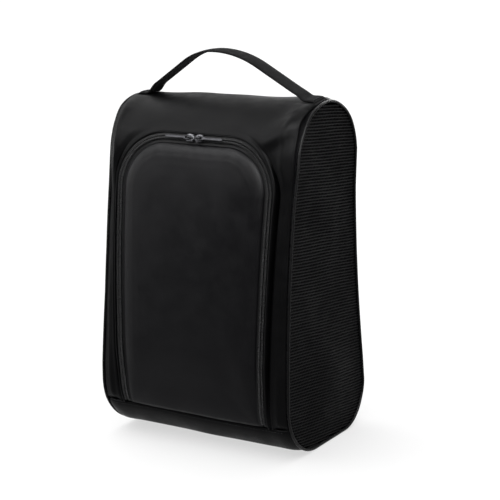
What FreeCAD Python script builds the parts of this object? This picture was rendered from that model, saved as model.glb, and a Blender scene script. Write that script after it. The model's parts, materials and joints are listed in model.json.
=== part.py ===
import FreeCAD, Part
import math
import os
import Sketcher

# Golf shoe bag: a soft upright case with a padded wrap-around shell, two mesh
# sides, a front panel that zips open and folds down, and a webbing handle.
#
# Frame: millimetres, +Z up, -Y is the front with the zip, X runs across the
# width.  The origin is the middle of the flat bottom that the bag stands on.
#
# The side outline of the bag is one closed chain in the YZ plane:
#   toe arc -> bowed front -> crown arc -> hollow back -> heel arc -> floor.
# Each layer of the wall is the same chain moved in or out, so all the layers
# share the same arc centres.  An offset is positive outwards.

doc = FreeCAD.newDocument("golf_shoe_bag")

# --------------------------------------------------------------------------
# Driving dimensions
# --------------------------------------------------------------------------

DIMENSIONS = [
    # The side outline.
    ("toe_radius", 60.0, "bottom front corner; its centre is one radius up"),
    ("toe_behind", 25.0, "toe centre, forward of the origin"),
    ("heel_radius", 44.0, "bottom back corner; its centre is one radius up"),
    ("heel_behind", 41.0, "heel centre, behind the origin"),
    ("crown_radius", 64.0, "rounded top"),
    ("crown_behind", 3.5, "crown centre, behind the origin"),
    ("crown_height", 305.0, "crown centre, above the floor"),
    ("front_bow", 1470.0, "radius of the bowed front"),
    ("back_hollow", 1690.0, "radius of the hollow back"),
    # Widths, all symmetrical about X = 0.
    ("shell_width", 221.8, "wrap-around shell between the two pipings"),
    ("piping_centre", 113.0, "middle of the piping from X = 0"),
    ("mesh_centre", 112.6, "middle of the mesh sheet from X = 0"),
    ("binding_centre", 109.9, "middle of the inside seam binding from X = 0"),
    # Layers of the wall, as depths below the outer surface.
    ("fabric_depth", 1.0, "outer fabric, from 0"),
    ("foam_start", 1.1, "foam, outer face"),
    ("foam_depth", 4.1, "foam, inner face"),
    ("lining_start", 4.2, "lining, outer face"),
    ("lining_depth", 4.8, "lining, inner face"),
    ("binding_start", 4.9, "inside seam binding, outer face"),
    ("binding_depth", 6.1, "inside seam binding, inner face"),
    ("binding_width", 4.0, "inside seam binding along X"),
    # Seams.
    ("base_seam", 36.0, "height where the base wrap ends, front and back"),
    ("back_seam", 296.0, "height where the crown piece ends at the back"),
    ("seam_gap", 0.2, "between two pieces that are sewn edge to edge"),
    # Piping and mesh.
    ("piping_radius", 2.0, "outside of the piping"),
    ("piping_bore", 1.2, "inside of the piping's fabric"),
    ("piping_cord_radius", 1.1, "cord inside the piping"),
    ("mesh_inset", 4.1, "edge of the mesh below the outline"),
    ("mesh_thick", 1.2, "thickness of the mesh sheet"),
    # The U-shaped zip.  Its outline lies in a plane that faces the zip's top
    # run squarely; spans are measured from the middle of the coil outwards.
    ("zip_tilt", 23.5, "degrees by which the zip's top run faces upwards"),
    ("corner_half", 38.0, "corner centre from X = 0"),
    ("corner_radius", 53.5, "corner of the zip, at the middle of the coil"),
    ("leg_tilt", 1.45, "degrees by which each leg of the zip leans inwards"),
    ("leg_reach", 312.0, "length of the outline below the zip's top run"),
    ("outline_setback", 40.0, "outline plane, behind the crown centre"),
    ("coil_half_gap", 0.6, "half of the slot between the two rows of coil"),
    ("coil_span", 2.9, "far edge of each row of coil"),
    ("inner_tape_span", 6.4, "far edge of the inner tape"),
    ("door_binding_start", 6.5, "outer edge of the door's binding"),
    ("door_binding_span", 8.4, "inner edge of the door's binding"),
    ("door_span", 8.5, "edge of the door's panel"),
    ("outer_tape_span", 7.2, "far edge of the outer tape"),
    ("gusset_start", 7.3, "inner edge of the raised gusset"),
    ("gusset_span", 12.0, "outer edge of the raised gusset"),
    ("opening_span", 12.1, "edge of the opening in the shell"),
    # Heights of the door and zip above the shell's outer surface.
    ("door_lining_back", 3.2, "door lining, inner face"),
    ("door_lining_front", 3.8, "door lining, outer face"),
    ("door_foam_back", 3.9, "door foam, inner face"),
    ("door_foam_front", 6.9, "door foam, outer face"),
    ("door_skin_back", 7.0, "door fabric, inner face"),
    ("door_skin_front", 8.0, "door fabric, outer face"),
    ("tape_back", 5.0, "zip tape, inner face"),
    ("tape_front", 6.0, "zip tape, outer face"),
    ("coil_back", 6.05, "coil, inner face"),
    ("coil_front", 8.0, "coil, outer face"),
    ("door_foot", 36.5, "lower edge of the door, of the zip and of the gusset"),
    ("door_head", 30.0, "the door's layers are cut off this far forward of the origin"),
    # Sliders and their pulls, in their own frames on the zip's top run.
    ("slider_left_middle", 7.2, "middle of the left slider, left of X = 0"),
    ("slider_right_middle", 3.2, "middle of the right slider, right of X = 0"),
    ("slider_length", 10.0, "along the zip"),
    ("slider_width", 8.6, "across the zip"),
    ("slider_back", 3.2, "underside of the lower plate"),
    ("slider_lower", 4.7, "top of the lower plate"),
    ("slider_upper", 8.3, "underside of the upper plate"),
    ("slider_top", 9.6, "top of the upper plate"),
    ("post_length", 3.0, "post between the plates, along the zip"),
    ("post_width", 0.5, "post between the plates, across the zip"),
    ("bridge_length", 7.0, "bridge that holds the pull, along the zip"),
    ("bridge_width", 2.4, "bridge, across the zip"),
    ("bridge_leg", 1.2, "bridge legs, along the zip"),
    ("bridge_underside", 12.0, "underside of the bridge"),
    ("bridge_top", 13.0, "top of the bridge"),
    ("pull_axis", 10.8, "height of the pull's cross bar"),
    ("pull_bar_radius", 0.75, "cross bar of the pull"),
    ("pull_length", 30.0, "cross bar to tip"),
    ("pull_width", 6.0, "across the pull"),
    ("pull_thick", 1.5, "thickness of the pull"),
    ("window_start", 0.75, "near end of the window round the bridge"),
    ("window_end", 5.2, "far end of the window round the bridge"),
    ("window_width", 3.4, "window, across the pull"),
    # The handle strap, drawn by the middle of its thickness.
    ("strap_width", 25.0, "along Y"),
    ("strap_behind", 5.0, "middle of the strap, behind the origin"),
    ("strap_half", 1.2, "half of the strap's thickness"),
    ("peak_left", 12.0, "top of the strap, left of X = 0"),
    ("peak_height", 418.0, "top of the strap above the floor"),
    ("peak_radius_left", 66.0, "bend left of the top"),
    ("peak_radius_right", 107.0, "bend right of the top"),
    ("rise_left", 35.6, "slope of the strap's left run, degrees"),
    ("rise_right", 29.4, "slope of the strap's right run, degrees"),
    ("strap_cut", 84.0, "where each foot of the strap begins, from X = 0"),
    ("cut_gap", 0.3, "between a foot and the swinging strap"),
    ("foot_height", 370.4, "middle of the flat, sewn end of the strap"),
    ("foot_radius_left", 12.0, "bend up from the left sewn end"),
    ("foot_radius_right", 20.0, "bend up from the right sewn end"),
    ("foot_end", 110.8, "end of the strap in the side seam, from X = 0"),
    ("tack_width", 20.0, "bar of thread, across the strap"),
    ("tack_size", 0.9, "bar of thread, along the strap"),
    ("tack_lift", 0.1, "gap under each bar of thread"),
    ("tack_thick", 0.5, "thickness of each bar of thread"),
    ("tack_first", 109.4, "outer bar of thread from X = 0"),
    ("tack_pitch", 1.8, "from one bar of thread to the next"),
    ("tack_count", 2, "bars of thread in each sewn end"),
]

sheet = doc.addObject("Spreadsheet::Sheet", "Sheet")
for row, (alias, value, note) in enumerate(DIMENSIONS, start=1):
    sheet.set("A%d" % row, alias)
    sheet.set("B%d" % row, str(value))
    sheet.set("C%d" % row, note)
    sheet.setAlias("B%d" % row, alias)
doc.recompute()


LEFT = "left"
RIGHT = "right"
START = 1            # Sketcher's names for the points of an edge
END = 2
CENTRE = 3
ORIGIN = (-1, 1)     # the origin point of a sketch
parts = []           # every finished sub-part, in order


def size(expression):
    """The present value of an expression in the sheet's cells."""
    return float(sheet.evalExpression(expression))


# --------------------------------------------------------------------------
# Sketch helpers
# --------------------------------------------------------------------------

class Drawing:
    """A sketch whose constraints are bound to the sheet."""

    def __init__(self, sketch):
        self.sketch = sketch

    def line(self, first, last):
        edge = Part.LineSegment(FreeCAD.Vector(*first, 0), FreeCAD.Vector(*last, 0))
        return self.sketch.addGeometry(edge, False)

    def arc(self, centre, radius, low, high):
        circle = Part.Circle(FreeCAD.Vector(*centre, 0), FreeCAD.Vector(0, 0, 1), radius)
        return self.sketch.addGeometry(Part.ArcOfCircle(circle, low, high), False)

    def circle(self, centre, radius):
        ring = Part.Circle(FreeCAD.Vector(*centre, 0), FreeCAD.Vector(0, 0, 1), radius)
        return self.sketch.addGeometry(ring, False)

    def tie(self, kind, *where):
        self.sketch.addConstraint(Sketcher.Constraint(kind, *where))

    def bind(self, kind, *where, to):
        """Add a dimension whose value follows the expression `to`."""
        value = size(to)
        if kind == "Angle":
            value = math.radians(value)
        index = self.sketch.addConstraint(Sketcher.Constraint(kind, *where, value))
        self.sketch.setExpression("Constraints[%d]" % index, to)

    def place(self, point, across=None, up=None):
        """Fix a point's distances from the origin.  Each is (sign, expression)."""
        for kind, where in (("DistanceX", across), ("DistanceY", up)):
            if where is None:
                continue
            sign, expression = where
            if sign > 0:
                self.bind(kind, *ORIGIN, *point, to=expression)
            else:
                self.bind(kind, *point, *ORIGIN, to=expression)


def new_body(label):
    body = doc.addObject("PartDesign::Body", label)
    body.Label = label
    body.AllowCompound = True
    parts.append(body)
    return body


def new_sketch(body, name, role):
    """A sketch on one of the body's own origin planes."""
    sketch = body.newObject("Sketcher::SketchObject", body.Label + "_" + name)
    plane = [p for p in body.Origin.OriginFeatures if p.Role == role][0]
    sketch.AttachmentSupport = (plane, [""])
    sketch.MapMode = "FlatFace"
    return sketch


def pad(body, sketch, length):
    """Pad a sketch by the same amount to both sides of its plane."""
    feature = body.newObject("PartDesign::Pad", body.Label + "_pad")
    feature.Profile = sketch
    feature.SideType = "Symmetric"
    feature.Length = size(length)
    feature.setExpression("Length", length)
    body.Tip = feature
    doc.recompute()
    return feature


# --------------------------------------------------------------------------
# The side outline of the bag
# --------------------------------------------------------------------------

def meeting_point(first, first_reach, second, second_reach):
    """The point at both distances from two centres, on the side of +Y."""
    gap = math.hypot(second[0] - first[0], second[1] - first[1])
    along = (gap ** 2 + first_reach ** 2 - second_reach ** 2) / (2 * gap)
    aside = math.sqrt(first_reach ** 2 - along ** 2)
    unit = ((second[0] - first[0]) / gap, (second[1] - first[1]) / gap)
    return (first[0] + unit[0] * along + unit[1] * aside,
            first[1] + unit[1] * along - unit[0] * aside)


def heading(start, finish):
    """Direction from one point to another, from 0 to two pi."""
    return math.atan2(finish[1] - start[1], finish[0] - start[0]) % (2 * math.pi)


TOE = (-size("Sheet.toe_behind"), size("Sheet.toe_radius"))
HEEL = (size("Sheet.heel_behind"), size("Sheet.heel_radius"))
CROWN = (size("Sheet.crown_behind"), size("Sheet.crown_height"))
FRONT = meeting_point(TOE, size("Sheet.front_bow - Sheet.toe_radius"),
                      CROWN, size("Sheet.front_bow - Sheet.crown_radius"))
BACK = meeting_point(HEEL, size("Sheet.back_hollow + Sheet.heel_radius"),
                     CROWN, size("Sheet.back_hollow + Sheet.crown_radius"))
TOE_TO_FRONT = heading(FRONT, TOE)
FRONT_TO_CROWN = heading(FRONT, CROWN)
CROWN_TO_BACK = heading(CROWN, BACK)
BACK_TO_HEEL = heading(HEEL, BACK)
DOWNWARDS = 1.5 * math.pi
TURN = 2 * math.pi

# For each arc: its centre, the sheet's radius, whether a positive offset makes
# it larger, and its directions where the chain enters and leaves it.  The chain
# runs up the front, over the crown and down the back.
CHAIN = {
    "toe": (TOE, "Sheet.toe_radius", True, DOWNWARDS, TOE_TO_FRONT),
    "front": (FRONT, "Sheet.front_bow", True, TOE_TO_FRONT, FRONT_TO_CROWN),
    "crown": (CROWN, "Sheet.crown_radius", True, FRONT_TO_CROWN, CROWN_TO_BACK % TURN),
    "back": (BACK, "Sheet.back_hollow", False, CROWN_TO_BACK - math.pi, BACK_TO_HEEL + math.pi),
    "heel": (HEEL, "Sheet.heel_radius", True, BACK_TO_HEEL, -math.pi / 2),
}
ORDER = ["toe", "front", "crown", "back", "heel"]

# Where the centres of the three small arcs lie: (sign, expression) pairs.
CENTRES = {
    "toe": ((-1, "Sheet.toe_behind"), (1, "Sheet.toe_radius")),
    "crown": ((1, "Sheet.crown_behind"), (1, "Sheet.crown_height")),
    "heel": ((1, "Sheet.heel_behind"), (1, "Sheet.heel_radius")),
}


def cap_direction(name, radius, cap):
    """Direction, from an arc's centre, of the place where a cap cuts the arc."""
    centre = CHAIN[name][0]
    kind, sign, expression = cap
    value = sign * size(expression)
    if kind == "behind":
        return math.acos((value - centre[0]) / radius)
    rise = math.asin((value - centre[1]) / radius)
    return rise if name == "heel" else math.pi - rise


def draw_guide(drawing, name, offset, shared):
    """A construction circle for a neighbour that a run of arcs leaves out."""
    radius_text = "%s + (%s)" % (CHAIN[name][1], offset)
    guide = drawing.circle(CHAIN[name][0], size(radius_text))
    drawing.sketch.setConstruction(guide, True)
    drawing.bind("Radius", guide, to=radius_text)
    if name in shared:
        drawing.tie("Coincident", guide, CENTRE, shared[name], CENTRE)
    else:
        drawing.place((guide, CENTRE), *CENTRES[name])
        shared[name] = guide
    return guide


def draw_chain(drawing, names, offset, start_cap, end_cap, shared):
    """Draw a run of arcs at an offset.

    Returns the run's first and last points.  `shared` holds the arcs of the
    first run in the sketch, whose centres later runs use.
    """
    edges = []
    for place, name in enumerate(names):
        centre, radius_cell, grows, enter, leave = CHAIN[name]
        radius_text = "%s %s (%s)" % (radius_cell, "+" if grows else "-", offset)
        radius = size(radius_text)
        if start_cap and place == 0:
            enter = cap_direction(name, radius, start_cap)
        if end_cap and place == len(names) - 1:
            leave = cap_direction(name, radius, end_cap)
        if grows:
            while enter < leave:
                enter += TURN
            while enter - leave > TURN:
                enter -= TURN
            index = drawing.arc(centre, radius, leave, enter)
            edges.append((index, END, START))
        else:
            while leave < enter:
                leave += TURN
            while leave - enter > TURN:
                leave -= TURN
            index = drawing.arc(centre, radius, enter, leave)
            edges.append((index, START, END))
        drawing.bind("Radius", index, to=radius_text)
        if name in CENTRES and name in shared:
            drawing.tie("Coincident", index, CENTRE, shared[name], CENTRE)
        elif name in CENTRES:
            drawing.place((index, CENTRE), *CENTRES[name])
            shared[name] = index
    for before, after in zip(edges, edges[1:]):
        drawing.tie("Tangent", before[0], before[2], after[0], after[1])
    if "back" in names:
        back_edge = edges[names.index("back")][0]
        for name in ("crown", "heel"):
            if name not in names:
                guide = draw_guide(drawing, name, offset, shared)
                drawing.tie("Tangent", back_edge, guide)
    first = (edges[0][0], edges[0][1])
    last = (edges[-1][0], edges[-1][2])
    for cap, point in ((start_cap, first), (end_cap, last)):
        if cap and cap[0] == "behind":
            drawing.place(point, across=cap[1:])
        elif cap:
            drawing.place(point, up=cap[1:])
    return first, last


def point_of(drawing, point):
    where = drawing.sketch.getPoint(*point)
    return (where.x, where.y)


def join(drawing, first, last):
    """A straight edge from one drawn point to another."""
    index = drawing.line(point_of(drawing, first), point_of(drawing, last))
    drawing.tie("Coincident", index, START, *first)
    drawing.tie("Coincident", index, END, *last)
    return index


def draw_loop(drawing, offset, shared):
    """The whole side outline at an offset, closed by the floor."""
    first, last = draw_chain(drawing, ORDER, offset, None, None, shared)
    floor = drawing.line(point_of(drawing, last), point_of(drawing, first))
    drawing.tie("Tangent", last[0], last[1], floor, START)
    drawing.tie("Tangent", floor, END, first[0], first[1])


def draw_wall(drawing, names, outer, inner, start_cap, end_cap):
    """A wall between two offsets, cut off by a straight cap at each end."""
    shared = {}
    outside = draw_chain(drawing, names, outer, start_cap, end_cap, shared)
    inside = draw_chain(drawing, names, inner, start_cap, end_cap, shared)
    join(drawing, inside[0], outside[0])
    join(drawing, outside[1], inside[1])


def height(expression):
    """A level cap."""
    return ("height", 1, expression)


def wall_body(label, names, outer, inner, start_cap, end_cap):
    """A layer of the wall, as wide as the shell."""
    body = new_body(label)
    sketch = new_sketch(body, "wall", "YZ_Plane")
    draw_wall(Drawing(sketch), names, outer, inner, start_cap, end_cap)
    pad(body, sketch, "Sheet.shell_width")
    return body


def base_wall_body(label, outer, inner):
    """The layer that wraps under the bag, from the back seam to the front one."""
    body = new_body(label)
    sketch = new_sketch(body, "wall", "YZ_Plane")
    drawing = Drawing(sketch)
    cap = height("Sheet.base_seam - Sheet.seam_gap")
    shared = {}
    ends = []
    for offset in (outer, inner):
        heel_in, heel_out = draw_chain(drawing, ["heel"], offset, cap, None, shared)
        toe_in, toe_out = draw_chain(drawing, ["toe"], offset, None, cap, shared)
        floor = drawing.line(point_of(drawing, heel_out), point_of(drawing, toe_in))
        drawing.tie("Tangent", heel_out[0], heel_out[1], floor, START)
        drawing.tie("Tangent", floor, END, toe_in[0], toe_in[1])
        ends.append((heel_in, toe_out))
    join(drawing, ends[1][0], ends[0][0])
    join(drawing, ends[0][1], ends[1][1])
    pad(body, sketch, "Sheet.shell_width")
    return body


# --------------------------------------------------------------------------
# The outline of the zip, seen squarely on its top run
# --------------------------------------------------------------------------

def draw_arch(drawing, span):
    """The inverted U at a span outside the middle of the coil."""
    half = size("Sheet.corner_half")
    drop = size("Sheet.corner_radius")
    lean = math.radians(size("Sheet.leg_tilt"))
    radius_text = "Sheet.corner_radius + (%s)" % span
    radius = size(radius_text)
    reach = size("Sheet.leg_reach")
    side_x = half + radius * math.cos(lean)
    side_y = -drop - radius * math.sin(lean)
    foot_x = side_x - (reach + side_y) * math.tan(lean)
    right = drawing.arc((half, -drop), radius, -lean, math.pi / 2)
    left = drawing.arc((-half, -drop), radius, math.pi / 2, math.pi + lean)
    top = drawing.line((half, radius - drop), (-half, radius - drop))
    left_leg = drawing.line((-side_x, side_y), (-foot_x, -reach))
    foot = drawing.line((-foot_x, -reach), (foot_x, -reach))
    right_leg = drawing.line((foot_x, -reach), (side_x, side_y))
    for arc, sign in ((right, 1), (left, -1)):
        drawing.place((arc, CENTRE), (sign, "Sheet.corner_half"), (-1, "Sheet.corner_radius"))
        drawing.bind("Radius", arc, to=radius_text)
    drawing.tie("Tangent", right, END, top, START)
    drawing.tie("Tangent", top, END, left, START)
    drawing.tie("Tangent", left, END, left_leg, START)
    drawing.tie("Coincident", left_leg, END, foot, START)
    drawing.tie("Coincident", foot, END, right_leg, START)
    drawing.tie("Tangent", right_leg, END, right, START)
    drawing.bind("Angle", left_leg, to="-90 + Sheet.leg_tilt")
    drawing.bind("Angle", right_leg, to="90 - Sheet.leg_tilt")
    drawing.tie("Horizontal", foot)
    drawing.place((foot, START), up=(-1, "Sheet.leg_reach"))


def draw_surround(drawing):
    """A rectangle larger than the zip, so that all outside an arch is cut."""
    half = size("Sheet.shell_width")
    reach = size("Sheet.leg_reach + Sheet.corner_radius")
    above = size("Sheet.crown_radius")
    corners = [(-half, -reach), (half, -reach), (half, above), (-half, above)]
    edges = []
    for place, corner in enumerate(corners):
        edges.append(drawing.line(corner, corners[(place + 1) % 4]))
    for place, edge in enumerate(edges):
        drawing.tie("Coincident", edge, END, edges[(place + 1) % 4], START)
        drawing.tie("Vertical" if place % 2 else "Horizontal", edge)
    drawing.place((edges[0], START), (-1, "Sheet.shell_width"),
                  (-1, "Sheet.leg_reach + Sheet.corner_radius"))
    drawing.place((edges[1], END), (1, "Sheet.shell_width"), (1, "Sheet.crown_radius"))


def cut_by_arches(body, spans, surround):
    """Cut a front wall to the zip's outline.

    With `surround`, the wall outside the first arch goes; what lies inside the
    last arch goes if there are two, or if there is no surround.
    """
    sketch = new_sketch(body, "outline", "XZ_Plane")
    tilt = size("Sheet.zip_tilt")
    up_text = "Sheet.crown_height - Sheet.outline_setback * sin(Sheet.zip_tilt)"
    forward_text = "-Sheet.crown_behind - Sheet.outline_setback * cos(Sheet.zip_tilt)"
    offset = FreeCAD.Vector(0, size(up_text), size(forward_text))
    sketch.AttachmentOffset = FreeCAD.Placement(
        offset, FreeCAD.Rotation(FreeCAD.Vector(-1, 0, 0), tilt))
    sketch.setExpression("AttachmentOffset.Base.y", up_text)
    sketch.setExpression("AttachmentOffset.Base.z", forward_text)
    sketch.setExpression("AttachmentOffset.Rotation.Angle", "Sheet.zip_tilt")
    drawing = Drawing(sketch)
    if surround:
        draw_surround(drawing)
    for span in spans:
        draw_arch(drawing, span)
    doc.recompute()
    before = body.Shape.Volume
    pocket = body.newObject("PartDesign::Pocket", body.Label + "_cut")
    pocket.Profile = sketch
    pocket.Type = "ThroughAll"
    pocket.Reversed = True
    body.Tip = pocket
    doc.recompute()
    if not pocket.Shape.Volume < before:
        raise RuntimeError("the outline cuts nothing from " + body.Label)


# --------------------------------------------------------------------------
# Shell: outer fabric, foam and lining, each in a front, back and base piece
# --------------------------------------------------------------------------

LAYERS = [
    ("panel", "panel", "0", "-Sheet.fabric_depth"),
    ("foam", "board", "-Sheet.foam_start", "-Sheet.foam_depth"),
    ("lining", "lining", "-Sheet.lining_start", "-Sheet.lining_depth"),
]

for layer, base_layer, outer, inner in LAYERS:
    front = wall_body("front_" + layer, ["toe", "front", "crown", "back"], outer, inner,
                      height("Sheet.base_seam"), height("Sheet.back_seam"))
    cut_by_arches(front, ["Sheet.opening_span"], surround=False)
    wall_body("back_" + layer, ["back", "heel"], outer, inner,
              height("Sheet.back_seam - Sheet.seam_gap"), height("Sheet.base_seam"))
    base_wall_body("base_" + base_layer, outer, inner)


# --------------------------------------------------------------------------
# Sides: mesh sheet, piping with its cord, and the inside seam binding
# --------------------------------------------------------------------------

def side_sketch(body, name, side, centre):
    """A sketch across the bag, moved out to one of its sides."""
    sketch = new_sketch(body, name, "YZ_Plane")
    sign = "-" if side == LEFT else ""
    sketch.AttachmentOffset = FreeCAD.Placement(
        FreeCAD.Vector(0, 0, size(sign + centre)), FreeCAD.Rotation())
    sketch.setExpression("AttachmentOffset.Base.z", sign + centre)
    return sketch


def mesh_body(side):
    body = new_body("side_mesh_" + side)
    sketch = side_sketch(body, "sheet", side, "Sheet.mesh_centre")
    draw_loop(Drawing(sketch), "-Sheet.mesh_inset", {})
    pad(body, sketch, "Sheet.mesh_thick")


def binding_body(side):
    body = new_body("seam_binding_" + side)
    sketch = side_sketch(body, "band", side, "Sheet.binding_centre")
    drawing = Drawing(sketch)
    shared = {}
    draw_loop(drawing, "-Sheet.binding_start", shared)
    draw_loop(drawing, "-Sheet.binding_depth", shared)
    pad(body, sketch, "Sheet.binding_width")


def sweep_round(body, side, name, kind, radius):
    """Sweep a round section along the middle of the piping."""
    spine = side_sketch(body, name + "_path", side, "Sheet.piping_centre")
    draw_loop(Drawing(spine), "-Sheet.piping_radius", {})
    section = new_sketch(body, name + "_section", "XZ_Plane")
    section.AttachmentOffset = FreeCAD.Placement(
        FreeCAD.Vector(0, 0, size("-Sheet.heel_behind")), FreeCAD.Rotation())
    section.setExpression("AttachmentOffset.Base.z", "-Sheet.heel_behind")
    drawing = Drawing(section)
    sign = -1 if side == LEFT else 1
    middle = (sign * size("Sheet.piping_centre"), size("Sheet.piping_radius"))
    ring = drawing.circle(middle, size(radius))
    drawing.place((ring, CENTRE), (sign, "Sheet.piping_centre"), (1, "Sheet.piping_radius"))
    drawing.bind("Radius", ring, to=radius)
    doc.recompute()
    sweep = body.newObject(kind, body.Label + "_" + name)
    sweep.Profile = section
    sweep.Spine = (spine, [])
    sweep.Mode = "Frenet"
    body.Tip = sweep
    doc.recompute()


def piping_bodies(side):
    body = new_body("piping_" + side)
    sweep_round(body, side, "outside", "PartDesign::AdditivePipe", "Sheet.piping_radius")
    sweep_round(body, side, "bore", "PartDesign::SubtractivePipe", "Sheet.piping_bore")
    cord = new_body("piping_cord_" + side)
    sweep_round(cord, side, "cord", "PartDesign::AdditivePipe", "Sheet.piping_cord_radius")


for side in (LEFT, RIGHT):
    mesh_body(side)
    binding_body(side)
    piping_bodies(side)


# --------------------------------------------------------------------------
# Front: the raised gusset, both halves of the zip, and the padded door
# --------------------------------------------------------------------------

def front_piece(label, outer, inner, spans):
    """A piece on the front wall, cut to the zip's outline.

    Two spans leave the band between two arches, one leaves all inside it.
    """
    body = wall_body(label, ["toe", "front", "crown"], outer, inner,
                     height("Sheet.door_foot"), ("behind", -1, "Sheet.door_head"))
    cut_by_arches(body, spans, surround=True)


front_piece("door_gusset", "Sheet.coil_front", "-Sheet.lining_depth",
            ["Sheet.gusset_span", "Sheet.gusset_start"])
front_piece("zip_tape_outer", "Sheet.tape_front", "Sheet.tape_back",
            ["Sheet.outer_tape_span", "Sheet.coil_half_gap"])
front_piece("zip_coil_outer", "Sheet.coil_front", "Sheet.coil_back",
            ["Sheet.coil_span", "Sheet.coil_half_gap"])
front_piece("zip_tape_inner", "Sheet.tape_front", "Sheet.tape_back",
            ["-Sheet.coil_half_gap", "-Sheet.inner_tape_span"])
front_piece("zip_coil_inner", "Sheet.coil_front", "Sheet.coil_back",
            ["-Sheet.coil_half_gap", "-Sheet.coil_span"])
front_piece("door_binding", "Sheet.door_skin_front", "Sheet.door_lining_back",
            ["-Sheet.door_binding_start", "-Sheet.door_binding_span"])
front_piece("door_panel", "Sheet.door_skin_front", "Sheet.door_skin_back",
            ["-Sheet.door_span"])
front_piece("door_foam", "Sheet.door_foam_front", "Sheet.door_foam_back",
            ["-Sheet.door_span"])
front_piece("door_lining", "Sheet.door_lining_front", "Sheet.door_lining_back",
            ["-Sheet.door_span"])


# --------------------------------------------------------------------------
# Zip sliders and pulls, in frames of their own: x along the zip, y across it
# and z out of the bag, with z = 0 on the shell's outer surface
# --------------------------------------------------------------------------

def mirrored(low, high, flip):
    """A span from low to high, or the same span on the other side of zero."""
    if flip:
        return "-(%s)" % high, "-(%s)" % low
    return low, high


def block(name, x_span, y_span, z_span):
    """A box between pairs of expressions."""
    box = doc.addObject("Part::Box", name)
    for prop, axis, (low, high) in (("Length", "x", x_span), ("Width", "y", y_span),
                                    ("Height", "z", z_span)):
        box.setExpression(prop, "(%s) - (%s)" % (high, low))
        box.setExpression("Placement.Base." + axis, low)
    return box


def centred(width):
    return ("-%s / 2" % width, "%s / 2" % width)


def on_the_zip(piece, side):
    """Stand a piece on the zip's top run, where its slider is."""
    sign = "-" if side == LEFT else ""
    middle = sign + "Sheet.slider_%s_middle" % side
    back = "Sheet.crown_behind - Sheet.crown_radius * cos(Sheet.zip_tilt)"
    up = "Sheet.crown_height + Sheet.crown_radius * sin(Sheet.zip_tilt)"
    turn = "90 - Sheet.zip_tilt"
    place = FreeCAD.Vector(size(middle), size(back), size(up))
    piece.Placement = FreeCAD.Placement(
        place, FreeCAD.Rotation(FreeCAD.Vector(1, 0, 0), size(turn)))
    piece.setExpression("Placement.Base.x", middle)
    piece.setExpression("Placement.Base.y", back)
    piece.setExpression("Placement.Base.z", up)
    piece.setExpression("Placement.Rotation.Angle", turn)


def slider(side):
    """Two plates joined by a post at the nose, and a bridge for the pull."""
    label = "slider_" + side
    flip = side == RIGHT
    across = centred("Sheet.slider_width")
    along = centred("Sheet.slider_length")
    bridge = centred("Sheet.bridge_width")
    nose = mirrored("Sheet.slider_length / 2 - Sheet.post_length",
                    "Sheet.slider_length / 2", flip)
    leg_low = "Sheet.bridge_length / 2 - Sheet.bridge_leg"
    leg_high = "Sheet.bridge_length / 2"
    blocks = [
        block(label + "_lower", along, across, ("Sheet.slider_back", "Sheet.slider_lower")),
        block(label + "_upper", along, across, ("Sheet.slider_upper", "Sheet.slider_top")),
        block(label + "_post", nose, centred("Sheet.post_width"),
              ("Sheet.slider_lower", "Sheet.slider_upper")),
        block(label + "_leg_a", mirrored(leg_low, leg_high, False), bridge,
              ("Sheet.slider_top", "Sheet.bridge_top")),
        block(label + "_leg_b", mirrored(leg_low, leg_high, True), bridge,
              ("Sheet.slider_top", "Sheet.bridge_top")),
        block(label + "_bar", centred("Sheet.bridge_length"), bridge,
              ("Sheet.bridge_underside", "Sheet.bridge_top")),
    ]
    fuse = doc.addObject("Part::MultiFuse", label)
    fuse.Shapes = blocks
    fuse.Label = label
    on_the_zip(fuse, side)
    parts.append(fuse)


def pull(side):
    """A flat tab with a window round the bridge and a round cross bar in it."""
    label = "pull_" + side
    flip = side == LEFT
    sign = "-" if flip else ""
    tip_middle = "%s(Sheet.pull_length - Sheet.pull_width / 2)" % sign
    thick = ("Sheet.pull_axis - Sheet.pull_thick / 2", "Sheet.pull_axis + Sheet.pull_thick / 2")
    blade = block(label + "_blade",
                  mirrored("0", "Sheet.pull_length - Sheet.pull_width / 2", flip),
                  centred("Sheet.pull_width"), thick)
    tip = doc.addObject("Part::Cylinder", label + "_tip")
    tip.setExpression("Radius", "Sheet.pull_width / 2")
    tip.setExpression("Height", "Sheet.pull_thick")
    tip.setExpression("Placement.Base.x", tip_middle)
    tip.setExpression("Placement.Base.z", thick[0])
    bar = doc.addObject("Part::Cylinder", label + "_cross_bar")
    bar.setExpression("Radius", "Sheet.pull_bar_radius")
    bar.setExpression("Height", "Sheet.pull_width")
    bar.Placement = FreeCAD.Placement(
        FreeCAD.Vector(), FreeCAD.Rotation(FreeCAD.Vector(1, 0, 0), 90))
    bar.setExpression("Placement.Base.y", "Sheet.pull_width / 2")
    bar.setExpression("Placement.Base.z", "Sheet.pull_axis")
    solid = doc.addObject("Part::MultiFuse", label + "_solid")
    solid.Shapes = [blade, tip, bar]
    window = block(label + "_window", mirrored("Sheet.window_start", "Sheet.window_end", flip),
                   centred("Sheet.window_width"),
                   ("Sheet.pull_axis - Sheet.pull_thick", "Sheet.pull_axis + Sheet.pull_thick"))
    cut = doc.addObject("Part::Cut", label)
    cut.Base = solid
    cut.Tool = window
    cut.Label = label
    on_the_zip(cut, side)
    parts.append(cut)


for side in (LEFT, RIGHT):
    slider(side)
    pull(side)


# --------------------------------------------------------------------------
# Handle: one webbing strap, as a swinging middle and two sewn feet
# --------------------------------------------------------------------------

def strap_sketch(body, name):
    """A sketch in the XZ plane, moved back to the middle of the strap."""
    sketch = new_sketch(body, name, "XZ_Plane")
    sketch.AttachmentOffset = FreeCAD.Placement(
        FreeCAD.Vector(0, 0, size("-Sheet.strap_behind")), FreeCAD.Rotation())
    sketch.setExpression("AttachmentOffset.Base.z", "-Sheet.strap_behind")
    return sketch


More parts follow.
